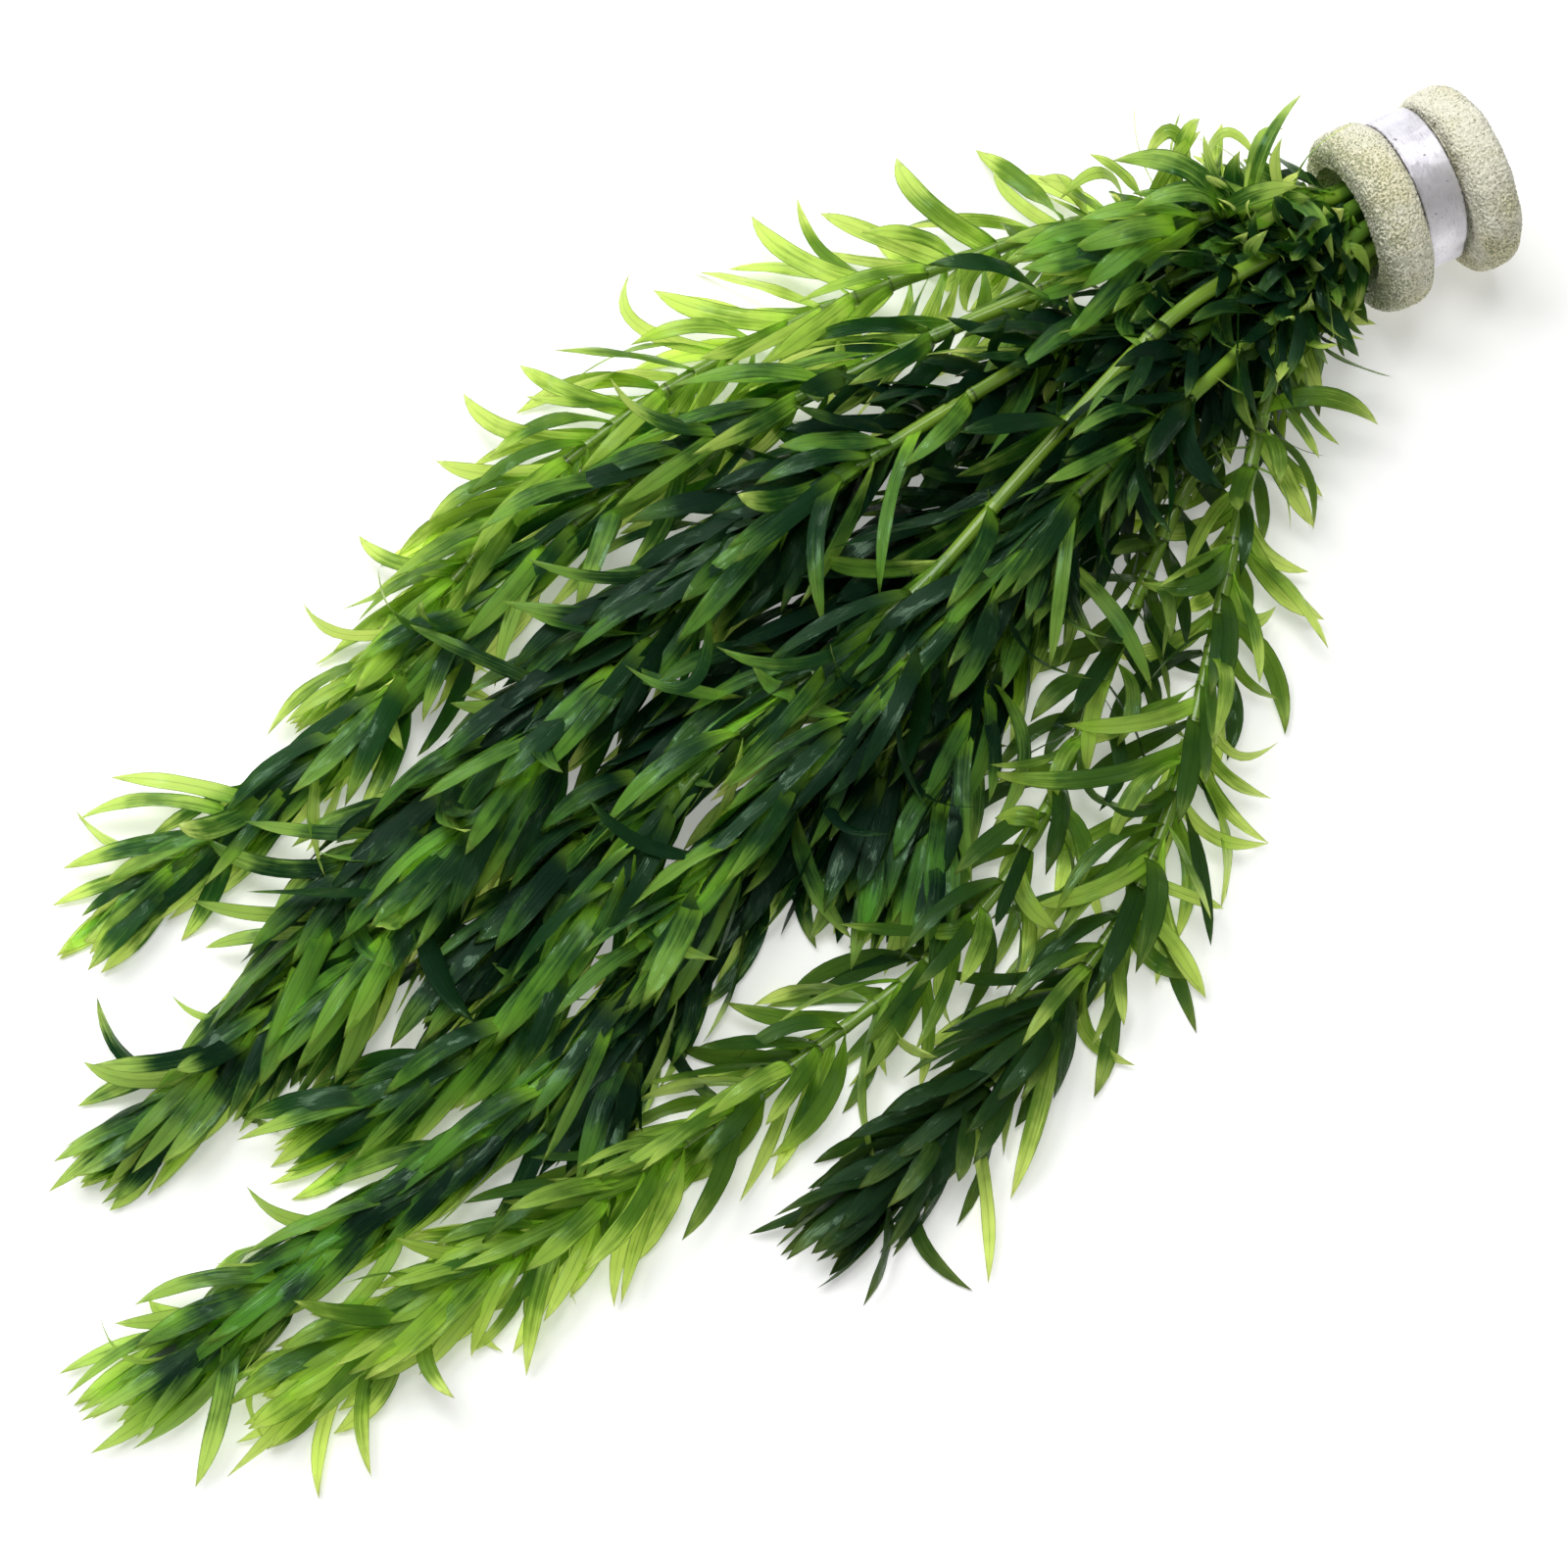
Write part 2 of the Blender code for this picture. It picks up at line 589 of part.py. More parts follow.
def build():
    clear_scene()
    parts = new_collection(PART_NAME)
    cutters = new_collection("cutters")
    materials = make_materials()
    collar = make_foam_collar(materials["foam"], parts, cutters)
    strip = make_lead_strip(materials["lead"], parts)
    bpy.context.view_layer.update()

    routes = [stem_route(shoot) for shoot in SHOOTS.values()]
    stems = [Stem(route) for route in settle(routes, [shoot["layer"] for shoot in SHOOTS.values()])]
    holder = joined_tree([object_shell(collar), object_shell(strip)])
    leaf_shells = []
    for number, (name, shoot) in enumerate(SHOOTS.items()):
        others = joined_tree([stem.shell() for index, stem in enumerate(stems) if index != number])
        bm = grow_shoot(number, shoot, stems[number], [holder, others], leaf_shells)
        add_object(name, bm, materials[shoot["material"]], parts)


build()
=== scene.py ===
"""Looks of the waterweed bunch: wet, see-through leaves in full whorls, a sponge collar and a strip of lead.

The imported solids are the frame. Every shoot is built again round the same stem, leaf for leaf where the solid
has a leaf clear of the collar, with the whorls between them filled in. Sizes are in millimetres until a mesh
is done.
"""

import json
import math
import random
from itertools import combinations

import bpy
import numpy as np
from mathutils import Matrix, Vector, kdtree, noise


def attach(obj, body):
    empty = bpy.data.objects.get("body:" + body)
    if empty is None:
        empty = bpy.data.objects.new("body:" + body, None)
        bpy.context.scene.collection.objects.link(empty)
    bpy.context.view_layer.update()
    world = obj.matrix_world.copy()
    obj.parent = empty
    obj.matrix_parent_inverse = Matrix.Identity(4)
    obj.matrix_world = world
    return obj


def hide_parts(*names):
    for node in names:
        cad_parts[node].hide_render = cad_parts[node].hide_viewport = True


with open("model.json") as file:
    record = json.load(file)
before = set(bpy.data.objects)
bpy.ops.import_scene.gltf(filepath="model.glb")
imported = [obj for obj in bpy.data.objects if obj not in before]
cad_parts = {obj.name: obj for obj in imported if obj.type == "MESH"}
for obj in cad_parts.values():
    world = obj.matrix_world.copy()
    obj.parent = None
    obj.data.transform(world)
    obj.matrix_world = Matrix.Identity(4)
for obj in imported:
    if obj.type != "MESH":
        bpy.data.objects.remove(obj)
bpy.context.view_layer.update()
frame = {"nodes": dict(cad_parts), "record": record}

MM = 0.001
BODY = "root"
# Least length that a direction is divided by
LEAST_LENGTH = 1e-9

# View of the photograph: what the camera looks at on the surface, and from where
CAMERA_TARGET = Vector((-99.0, -32.4, 0))
CAMERA_AZIMUTH = math.radians(-115.6)
CAMERA_ELEVATION = math.radians(74)
CAMERA_DISTANCE = 466
CAMERA_LENS = 85
CAMERA_SENSOR = 36

# Foam collar and lead strip, as in the solids
AXIS_HEIGHT = 12.0
FOAM_RADIUS = 12.3
FOAM_BORE = 6.4
FOAM_MOUTH = 8.2
FOAM_MOUTH_DEPTH = 3.0
FOAM_WAIST = 9.0
WAIST_SHIFT = 1.6
PLANT_LOBE = 7.2
FAR_LOBE = 6.2
LOBE_FULLNESS = 0.6
SEAM_WIDTH = 0.5
SEAM_ANGLE = math.radians(15)
STRIP_WIDTH = 5.8
STRIP_THICKNESS = 0.6
STRIP_GAP = 0.3
STRIP_START = math.radians(200)
STRIP_LAP = math.radians(50)
LAP_CLIMB = math.radians(20)
LAP_GAP = 0.2
PLANT_END = -PLANT_LOBE / 2
WAIST_START = PLANT_END + PLANT_LOBE
WAIST_END = WAIST_START + STRIP_WIDTH
FAR_END = WAIST_END + FAR_LOBE

# Stems, as in the solids
STEM_SIDES = 6
STEM_RADIUS = 1.25
STEM_TIP_RADIUS = 0.75
STEM_STEP = 3.0
CURVE_PARTS = 20
CUT_END_DEPTH = 0.2
HELD_STRAIGHT = 1.5
INNER_SLOTS = 4
OUTER_SLOTS = 10
INNER_RADIUS = 2.0
OUTER_RADIUS = 4.8
INNER_TURN = math.radians(90)
OUTER_TURN = math.radians(10)
MOUTH_ROOM = 2.95
OPEN_ROOM = 5.2
OPEN_DISTANCE = 26.0
FLOOR_ROOM = 3.4
TIP_FLOOR_ROOM = 2.6
SETTLE_ROUNDS = 260
PUSH_SHARE = 0.5
SIDEWAYS_SHARE = 0.4
SMOOTHING = 0.2
PULL_HOME = (0.06, 0.06, 0.01)

# Whorls and leaves, as in the solids; where three values are given, they are near the collar, halfway and at
# the tip
FIRST_WHORL = 5.0
TIP_WHORL = 1.5
WHORL_SPACING = (5.0, 4.8, 2.8)
SOLID_WHORL_EVERY = 3
SOLID_LEAVES = 3
BAND_HEIGHT = 1.3
LEAF_MIDDLE = 0.42
LEAF_START_ANGLES = (66, 34, 32)
LEAF_END_ANGLES = (72, 10, 16)
LENGTH_RANGE = (0.85, 1.15)
START_RANGE = (0.85, 1.15)
END_RANGE = (0.6, 1.4)
DROOP = 0.22
MIDDLE_DROOP = 0.055
FLOOR_GAP = 0.05
# Shares of its length and of its angles, and swings round the stem, that a leaf of the solid is tried with
LEAF_FOLDS = ((1, 1), (1, 0.7), (1, 1.35), (0.8, 0.6), (0.8, 1.5), (0.6, 0.6), (0.45, 0.8))
LEAF_SWINGS = (0, math.radians(22), math.radians(-22))
SAME_PLACE = 0.05

# One leaf of the visual model; where three values are given, they are near the collar, halfway and at the
# tip, and of two such rows the first is the least and the second the most
LEAF_WIDTHS = (2.1, 2.4, 2.5)
WIDTH_RANGE = (0.75, 1.25)
LEAF_THICKNESS = 0.12
LEAF_RINGS = 12
TOP_POINTS = (-1, 0, 1)
UNDER_POINTS = (0,)
LEAF_NECK = 0.85
NECK_END = 0.15
TAPER_START = 0.58
TAPER_POWER = 2.1
TIP_THINNING = 2
RIPPLE = 0.08
RIPPLE_WAVES = 14
RIPPLE_SHIFT = 40
TWISTS = (45, 14, 14)
BENDS = (0.15, 0.05, 0.06)
LEVELLING = (0.1, 0.8)
LEVEL_FROM = 0.35
LYING_HEIGHT = 2.5
FLATTENING = (0.12, 1)
ACROSS_KEPT = 0.999
SHADE_SPREAD = 0.8

# Room that leaves keep from stems, the collar and the surface
STEM_ROOM = 0.6
LEAST_GAP = 0.2
FREE_FROM = 0.25
COLLAR_ROOM = 0.5
COLLAR_REACH = 1
FLOOR_SOFTNESS = 0.3
FLOOR_LIFT = (0.15, 1.3)

# How a shoot's leaves lie, by habit: their angles to the stem in degrees at their start and at their end, how
# much they fold, how broad they are, and how many are missing along the shoot's upper side
HABITS = {
    "rope": {
        "start": ((20, 8, 3), (70, 24, 14)), "end": ((0, -4, -4), (80, 10, 5)),
        "fold": (-0.05, 0.3), "width": 1.0, "ridge": 0.3,
    },
    "hugging": {
        "start": ((20, 2, 8), (80, 10, 28)), "end": ((0, -6, -3), (110, 1, 14)),
        "fold": (-0.05, 0.3), "width": 1.0, "ridge": 0.55,
    },
    "bushy": {
        "start": ((25, 8, 8), (90, 32, 32)), "end": ((0, -3, -3), (110, 28, 16)),
        "fold": (-0.1, 0.3), "width": 1.1, "ridge": 0.25,
    },
    "loose": {
        "start": ((30, 26, 10), (95, 62, 34)), "end": ((0, 4, -2), (120, 60, 20)),
        "fold": (-0.1, 0.25), "width": 0.9, "ridge": 0.2,
    },
}

# Leaves that fill a whorl up, those halfway to the next whorl, and the few that hook outwards; none stands
# higher than the top, nor hangs low near the collar
ROOT_DEPTH = 0.7
TURN_JITTER = 0.2
FACES_UP = 0.1
FILL_LENGTH = ((0.6, 0.85, 0.9), (1.1, 1.15, 1.3))
FILL_DROOP = (0.1, 0.9)
BETWEEN_SHARE = 0.4
HOOK_SHARE = 0.06
HOOK_START = (30, 55)
HOOK_END = (50, 105)
RIDGE_SIDE = 0.7
RIDGE_FROM = 0.3
TOP_HEIGHT = 26
LOW_TIP = 8.0
LOW_TIP_FREE_FROM = -14.0
PLACED_SHADE = 0.45
PLACED_TINT = 0.4

# Short leaves at the collar's mouth, then the tuft at a shoot's tip; of its length and its angle the second
# value is what each leaf has more than the one inside it
MOUTH_WHORLS = 9
MOUTH_FIRST = 0.6
MOUTH_WHORL_STEP = 1.6
MOUTH_LEAVES = 3
MOUTH_START = (20, 70)
MOUTH_END = (20, 115)
MOUTH_LENGTH = (0.5, 0.9)
MOUTH_DROOP = (0, 1.4)
MOUTH_WIDTH = 1.2
MOUTH_SHADE = 0.3
BUD_LEAVES = 8
BUD_TURN = 2.4
BUD_LENGTH = (0.4, 0.08)
BUD_START = (6, 2.5)
BUD_END = (0, 12)
BUD_STEP = 0.3
BUD_REACH = 0.4
BUD_DROOP = 0.4

# Stems of the visual model
ROUND_SIDES = 14
ROUND_STEP = 0.8
SLIMNESS = 0.86
NODE_SWELL = 0.12
NODE_LENGTH = 0.55
LAST_RING = 0.4

# Each shoot's route, from just outside the mouth to the tip, as in the solids, with its slot in the bore, its
# layer in the pile, its leaf lengths and its spread; then its habit; then the stretch, as shares of its leafy
# length, where the stem shows bare from above, how many leaves its whorls have, and how pale they are
# A shoot's shade holds the leaves' own tone and also painted shade: the shoots low in the pile, and the crowded
# leaves by the collar, have low values
SHOOTS = {
    "shoot_01": {
        "slot": ("outer", 9), "layer": 7, "leaves": (13, 18, 14), "spread": 1.3, "habit": "loose",
        "bare": (0, 0), "full": (4, 3, 4), "shade": (0.7, 0.85, 0.75),
        "route": [(-21, 14, 10), (-38, 18, 8), (-65, 21, 6), (-87, 21, 5), (-107, 17, 5), (-126, 9, 4),
                  (-140, 1, 4)],
    },
    "shoot_02": {
        "slot": ("outer", 0), "layer": 10, "leaves": (12, 20, 16), "spread": 1.0, "habit": "rope",
        "bare": (0.12, 0.3), "full": (5, 4, 4), "shade": (0.3, 0.5, 0.8),
        "route": [(-20, 7, 14), (-41, 9, 13), (-72, 10, 11), (-101, 10, 8), (-126, 3, 5), (-151, -6, 4),
                  (-174, -11, 3)],
    },
    "shoot_03": {
        "slot": ("outer", 1), "layer": 14, "leaves": (12, 15, 13), "spread": 0.8, "habit": "hugging",
        "bare": (0, 0.6), "full": (5, 6, 6), "shade": (0.9, 0.8, 0.7),
        "route": [(-10, 5, 18), (-17, 7, 18), (-25, 8, 18), (-33, 9, 17)],
    },
    "shoot_04": {
        "slot": ("inner", 3), "layer": 8, "leaves": (12, 20, 16), "spread": 1.0, "habit": "bushy",
        "bare": (0, 0), "full": (5, 5, 5), "shade": (0.05, 0.2, 0.75),
        "route": [(-13, 1, 10), (-30, 2, 9), (-67, 1, 9), (-97, -3, 8), (-127, -13, 7), (-154, -22, 4),
                  (-168, -33, 4), (-186, -38, 3)],
    },
    "shoot_05": {
        "slot": ("inner", 0), "layer": 9, "leaves": (12, 20, 16), "spread": 1.0, "habit": "bushy",
        "bare": (0.3, 0.4), "full": (4, 4, 6), "shade": (0.3, 0.3, 0.55),
        "route": [(-13, 2, 13), (-27, 3, 13), (-56, 0, 13), (-85, -4, 12), (-113, -13, 10), (-140, -25, 8),
                  (-158, -34, 6)],
    },
    "shoot_06": {
        "slot": ("outer", 2), "layer": 13, "leaves": (11, 21, 16), "spread": 1.0, "habit": "hugging",
        "bare": (0.05, 0.42), "full": (6, 4, 5), "shade": (0.1, 0.4, 0.65),
        "route": [(-11, -1, 18), (-30, -3, 19), (-58, -14, 18), (-79, -23, 16), (-105, -28, 14),
                  (-127, -39, 11), (-142, -48, 7), (-161, -48, 3)],
    },
    "shoot_07": {
        "slot": ("inner", 1), "layer": 6, "leaves": (12, 21, 18), "spread": 1.0, "habit": "hugging",
        "bare": (0, 0), "full": (5, 5, 5), "shade": (0.1, 0.5, 1.0),
        "route": [(-15, -3, 9), (-31, -6, 8), (-57, -20, 8), (-84, -31, 8), (-111, -41, 7), (-141, -56, 6),
                  (-168, -61, 4), (-191, -66, 3)],
    },
    "shoot_08": {
        "slot": ("outer", 7), "layer": 4, "leaves": (12, 19, 16), "spread": 1.0, "habit": "bushy",
        "bare": (0, 0), "full": (5, 5, 5), "shade": (0, 0.1, 0.4),
        "route": [(-14, -1, 7), (-31, -4, 6), (-67, -18, 6), (-102, -39, 5), (-128, -52, 5),
                  (-135, -59, 4)],
    },
    "shoot_09": {
        "slot": ("outer", 3), "layer": 12, "leaves": (11, 19, 15), "spread": 1.0, "habit": "hugging",
        "bare": (0.16, 0.26), "full": (6, 4, 5), "shade": (0.1, 0.3, 0.5),
        "route": [(-13, -6, 15), (-32, -13, 16), (-50, -18, 14), (-68, -24, 13), (-86, -31, 11),
                  (-101, -36, 10), (-117, -44, 7)],
    },
    "shoot_10": {
        "slot": ("outer", 5), "layer": 3, "leaves": (13, 17, 15), "spread": 1.25, "habit": "loose",
        "bare": (0, 0), "full": (4, 3, 5), "shade": (0, 0.25, 0.75),
        "route": [(-11, -9, 8), (-31, -16, 5), (-50, -32, 5), (-68, -48, 4), (-84, -59, 4), (-108, -65, 4),
                  (-143, -71, 4), (-180, -75, 3)],
    },
    "shoot_11": {
        "slot": ("outer", 6), "layer": 2, "leaves": (12, 16, 15), "spread": 1.1, "habit": "bushy",
        "bare": (0, 0), "full": (4, 4, 6), "shade": (0.4, 0.45, 0.5),
        "route": [(-17, -5, 7), (-48, -18, 6), (-62, -26, 6), (-74, -35, 6), (-82, -42, 5), (-87, -49, 4)],
    },
    "shoot_12": {
        "slot": ("outer", 4), "layer": 11, "leaves": (11, 18, 15), "spread": 1.4, "habit": "loose",
        "bare": (0, 0), "full": (4, 3, 5), "shade": (0.3, 0.3, 0.05),
        "route": [(-9, -4, 12), (-17, -8, 10), (-26, -19, 7), (-34, -29, 5), (-46, -44, 5), (-61, -61, 4),
                  (-78, -72, 3), (-98, -80, 3), (-111, -84, 3)],
    },
    "shoot_13": {
        "slot": ("outer", 8), "layer": 1, "leaves": (12, 18, 15), "spread": 1.1, "habit": "bushy",
        "bare": (0, 0), "full": (5, 5, 5), "shade": (0, 0.1, 0.35),
        "route": [(-23, -2, 6), (-43, -7, 6), (-61, -10, 6), (-79, -14, 6), (-98, -19, 6), (-118, -27, 6),
                  (-131, -33, 5), (-142, -37, 4)],
    },
    "shoot_14": {
        "slot": ("inner", 2), "layer": 5, "leaves": (12, 18, 16), "spread": 1.0, "habit": "bushy",
        "bare": (0, 0), "full": (5, 5, 5), "shade": (0, 0.1, 0.35),
        "route": [(-23, -4, 9), (-44, -11, 9), (-64, -20, 9), (-79, -30, 9), (-88, -37, 8), (-93, -44, 5)],
    },
}

# Single leaves put where the photograph shows them: a place by the stem that they grow from, a place that
# they pass, their tip and their width
PLACED_LEAVES = {
    "shoot_01": [
        ((-21, 14, 12), (-18, 18, 20), (-15, 20, 17), 2.0),
        ((-18, 14, 12), (-21, 19, 20), (-24, 18, 15), 2.0),
        ((-18, 14, 13), (-13, 15, 20), (-11, 11, 17), 2.0),
        ((-24, 15, 12), (-20, 16, 20), (-16, 18, 18), 1.8),
        ((-28, 16, 11), (-31, 19, 17), (-36, 18, 16), 2.0),
        ((-36, 18, 10), (-40, 23, 11), (-40, 28, 9), 1.8), ((-44, 20, 10), (-51, 28, 12), (-50, 36, 7), 2.8),
        ((-52, 21, 8), (-59, 28, 9), (-62, 34, 5), 2.4), ((-60, 22, 8), (-69, 30, 8), (-70, 38, 4), 2.6),
        ((-72, 23, 7), (-82, 27, 8), (-86, 34, 4), 2.8), ((-82, 24, 6), (-91, 31, 8), (-87, 38, 4), 2.0),
        ((-95, 20, 6), (-104, 27, 7), (-106, 32, 4), 2.2),
        ((-103, 19, 5), (-113, 26, 6), (-114, 32, 3), 2.4),
        ((-107, 17, 5), (-117, 20, 6), (-121, 25, 3), 2.4),
        ((-124, 10, 5), (-133, 16, 5), (-134, 20, 3), 2.0),
        ((-133, 6, 4), (-143, 10, 5), (-144, 15, 3), 1.8),
    ],
    "shoot_02": [
        ((-160, -2, 4), (-169, 0, 5), (-175, 4, 3), 2.3), ((-163, -4, 4), (-173, -1, 5), (-181, 1, 2), 2.3),
        ((-167, -5, 4), (-177, -6, 5), (-185, -4, 2), 2.5), ((-14, 6, 15), (-11, 11, 22), (-2, 17, 18), 1.6),
        ((-102, 8, 11), (-108, 3, 9), (-114, -3, 7), 2.6),
        ((-114, 5, 11), (-122, -1, 8), (-127, -7, 6), 2.4),
        ((-126, 2, 9), (-134, -4, 7), (-137, -7, 5), 2.2), ((-94, 8, 12), (-100, 2, 9), (-106, -1, 8), 2.6),
        ((-16, 7, 15), (-10, 13, 21), (-6, 14, 17), 1.6), ((-10, 6, 16), (-5, 8, 23), (0, 8, 25), 0.6),
    ],
    "shoot_03": [
        ((-12, 5, 18), (-10, 1, 22), (-10, -6, 20), 2.0), ((-18, 7, 18), (-22, 12, 24), (-29, 18, 21), 3.0),
        ((-20, 7, 18), (-22, 9, 23), (-30, 11, 21), 2.8), ((-18, 7, 18), (-15, 5, 24), (-10, 4, 23), 2.4),
        ((-24, 8, 18), (-31, 8, 22), (-39, 10, 19), 3.2), ((-26, 8, 18), (-33, 6, 21), (-40, 5, 18), 3.2),
        ((-30, 9, 18), (-37, 12, 20), (-46, 12, 17), 3.0), ((-28, 9, 18), (-36, 3, 19), (-45, 0, 17), 2.8),
    ],
    "shoot_04": [
        ((-150, -19, 5), (-163, -15, 6), (-168, -8, 4), 2.4),
        ((-160, -24, 4), (-170, -22, 4), (-173, -21, 2), 1.8),
        ((-158, -23, 4), (-168, -19, 5), (-172, -15, 3), 2.0),
        ((-168, -30, 4), (-177, -29, 4), (-179, -25, 3), 1.0),
        ((-178, -34, 4), (-189, -32, 5), (-192, -28, 3), 2.2),
        ((-97, -4, 10), (-111, -1, 13), (-117, 5, 12), 1.6),
        ((-107, -7, 9), (-115, -4, 12), (-122, 1, 12), 1.9),
        ((-121, -10, 8), (-127, -5, 12), (-134, 4, 11), 1.8),
        ((-121, -10, 8), (-129, -10, 9), (-133, -7, 8), 2.2),
    ],
    "shoot_05": [
        ((-76, -3, 12), (-85, -12, 19), (-88, -21, 16), 2.2),
        ((-66, -2, 13), (-76, -13, 17), (-80, -20, 15), 1.8),
        ((-98, -9, 11), (-108, -20, 17), (-112, -14, 15), 1.6),
        ((-111, -12, 12), (-107, -19, 13), (-100, -23, 11), 1.8),
    ],
    "shoot_06": [
        ((-82, -24, 16), (-95, -24, 20), (-101, -17, 16), 1.8),
    ],
    "shoot_07": [
        ((-168, -58, 4), (-178, -56, 6), (-180, -51, 4), 2.0),
        ((-174, -61, 4), (-184, -60, 5), (-187, -58, 4), 1.0),
        ((-180, -63, 4), (-191, -59, 6), (-198, -58, 2), 2.2),
        ((-183, -64, 4), (-195, -62, 6), (-201, -59, 2), 2.2),
        ((-186, -65, 4), (-202, -62, 4), (-202, -57, 3), 1.4),
        ((-189, -66, 3), (-194, -75, 4), (-200, -81, 1), 2.5),
    ],
    "shoot_09": [
        ((-52, -18, 14), (-61, -31, 18), (-65, -37, 14), 1.8),
    ],
    "shoot_10": [
        ((-101, -64, 4), (-108, -73, 3), (-110, -82, 1), 2.2),
        ((-93, -62, 4), (-98, -71, 3), (-101, -75, 1), 1.8),
        ((-133, -69, 4), (-143, -78, 3), (-146, -83, 1), 2.0),
        ((-139, -70, 4), (-149, -76, 3), (-150, -81, 1), 1.8),
        ((-147, -71, 4), (-155, -80, 4), (-159, -86, 1), 2.4),
        ((-152, -71, 4), (-162, -79, 3), (-164, -81, 1), 1.8),
        ((-172, -75, 3), (-190, -75, 4), (-190, -81, 1), 1.6),
        ((-56, -41, 6), (-63, -45, 7), (-65, -49, 4), 2.2),
        ((-62, -46, 6), (-69, -48, 8), (-71, -51, 4), 2.4),
        ((-70, -52, 6), (-70, -58, 6), (-72, -61, 4), 2.6),
        ((-71, -53, 6), (-75, -51, 8), (-78, -49, 5), 2.6),
        ((-76, -57, 6), (-79, -62, 6), (-77, -65, 4), 2.4),
        ((-84, -60, 6), (-89, -60, 7), (-93, -57, 4), 2.2),
        ((-85, -60, 5), (-94, -66, 5), (-94, -70, 2), 2.2),
        ((-96, -63, 5), (-103, -68, 5), (-104, -72, 2), 2.2),
        ((-130, -70, 5), (-138, -70, 6), (-147, -66, 5), 2.2),
        ((-130, -70, 5), (-143, -70, 6), (-153, -66, 4), 2.6),
        ((-149, -72, 5), (-158, -71, 6), (-167, -64, 5), 2.2),
        ((-155, -72, 5), (-163, -71, 6), (-169, -68, 4), 2.4),
    ],
    "shoot_11": [
        ((-55, -24, 8), (-53, -36, 9), (-53, -43, 6), 2.2),
        ((-68, -33, 8), (-72, -45, 7), (-79, -50, 4), 2.2),
        ((-75, -38, 8), (-82, -48, 7), (-84, -55, 3), 2.2),
    ],
    "shoot_12": [
        ((-12, -5, 13), (-6, -5, 18), (-5, -8, 15), 1.8), ((-14, -6, 12), (-10, -8, 15), (-7, -8, 12), 1.8),
        ((-13, -7, 11), (-8, -10, 9), (-5, -12, 8), 1.8), ((-15, -8, 10), (-10, -11, 8), (-7, -13, 7), 1.8),
        ((-24, -16, 8), (-18, -18, 11), (-11, -24, 7), 2.6),
        ((-22, -14, 9), (-21, -12, 15), (-19, -7, 14), 2.2),
        ((-26, -19, 7), (-25, -27, 7), (-24, -32, 4), 2.6),
        ((-32, -27, 6), (-32, -38, 5), (-28, -43, 2), 2.8),
        ((-37, -33, 5), (-37, -40, 5), (-33, -39, 3), 2.0),
        ((-40, -38, 5), (-41, -47, 4), (-38, -50, 2), 2.2),
        ((-46, -45, 5), (-46, -55, 4), (-41, -55, 3), 1.8),
        ((-50, -50, 4), (-51, -61, 4), (-48, -66, 2), 2.0),
        ((-60, -61, 4), (-65, -75, 3), (-64, -80, 1), 2.2),
        ((-80, -74, 3), (-94, -89, 3), (-97, -92, 1), 2.4),
        ((-96, -80, 3), (-101, -94, 2), (-104, -100, 1), 1.9),
        ((-50, -45, 6), (-59, -46, 9), (-65, -42, 6), 2.2),
        ((-53, -49, 6), (-67, -50, 9), (-77, -43, 6), 2.4),
        ((-65, -60, 6), (-73, -63, 8), (-79, -61, 5), 2.4),
        ((-35, -31, 7), (-44, -34, 11), (-49, -30, 9), 2.4),
        ((-56, -55, 6), (-55, -62, 5), (-48, -66, 2), 2.0),
        ((-51, -49, 6), (-50, -56, 6), (-45, -61, 2), 2.0),
        ((-64, -65, 5), (-60, -69, 5), (-57, -71, 2), 1.6),
        ((-67, -67, 5), (-65, -74, 5), (-64, -80, 1), 2.0),
    ],
}


def between(values, share):
    """Value at a share of the length, from those near the collar, halfway and at the tip."""
    return float(np.interp(share, (0, 0.5, 1), values))


def turned(side, lift, turn):
    """Direction across a stem, turned round it from its side towards its upper side."""
    return side * math.cos(turn) + lift * math.sin(turn)


def lengths_along(route):
    """Length along a route at each of its points."""
    return np.concatenate([[0], np.cumsum(np.linalg.norm(np.diff(route, axis=0), axis=1))])


def slot_place(slot):
    """Side and height of a stem in the bore; angles run from +Y towards +Z."""
    ring, index = slot
    if ring == "inner":
        angle, radius = INNER_TURN + index * 2 * math.pi / INNER_SLOTS, INNER_RADIUS
    else:
        angle, radius = OUTER_TURN + index * 2 * math.pi / OUTER_SLOTS, OUTER_RADIUS
    return radius * math.cos(angle), AXIS_HEIGHT + radius * math.sin(angle)


def smooth_route(points):
    """Read points at even steps from a smooth curve, a Catmull-Rom one, through the given ones."""
    ends = [2 * points[0] - points[1]] + list(points) + [2 * points[-1] - points[-2]]
    fine = []
    for before, start, end, after in zip(ends, ends[1:], ends[2:], ends[3:]):
        for part in np.arange(CURVE_PARTS) / CURVE_PARTS:
            slope = (end - before) * part
            bend = (2 * before - 5 * start + 4 * end - after) * part ** 2
            twist = (3 * start - before - 3 * end + after) * part ** 3
            fine.append(start + (slope + bend + twist) / 2)
    fine = np.array(fine + [points[-1]])
    lengths = lengths_along(fine)
    places = np.linspace(0, lengths[-1], round(lengths[-1] / STEM_STEP) + 1)
    return np.array([[np.interp(place, lengths, fine[:, axis]) for axis in range(3)] for place in places])


def in_collar(route):
    """Which points of a route the collar holds straight."""
    return route[:, 0] > PLANT_END - HELD_STRAIGHT


def stem_route(shoot):
    """Run from the far end of the bore, straight through it, and out along the shoot's own points."""
    side, height = slot_place(shoot["slot"])
    inside = [(x, side, height) for x in (FAR_END - CUT_END_DEPTH, (FAR_END + PLANT_END) / 2, PLANT_END)]
    route = smooth_route([np.array(point, float) for point in inside + shoot["route"]])
    route[in_collar(route), 1:] = (side, height)
    return route


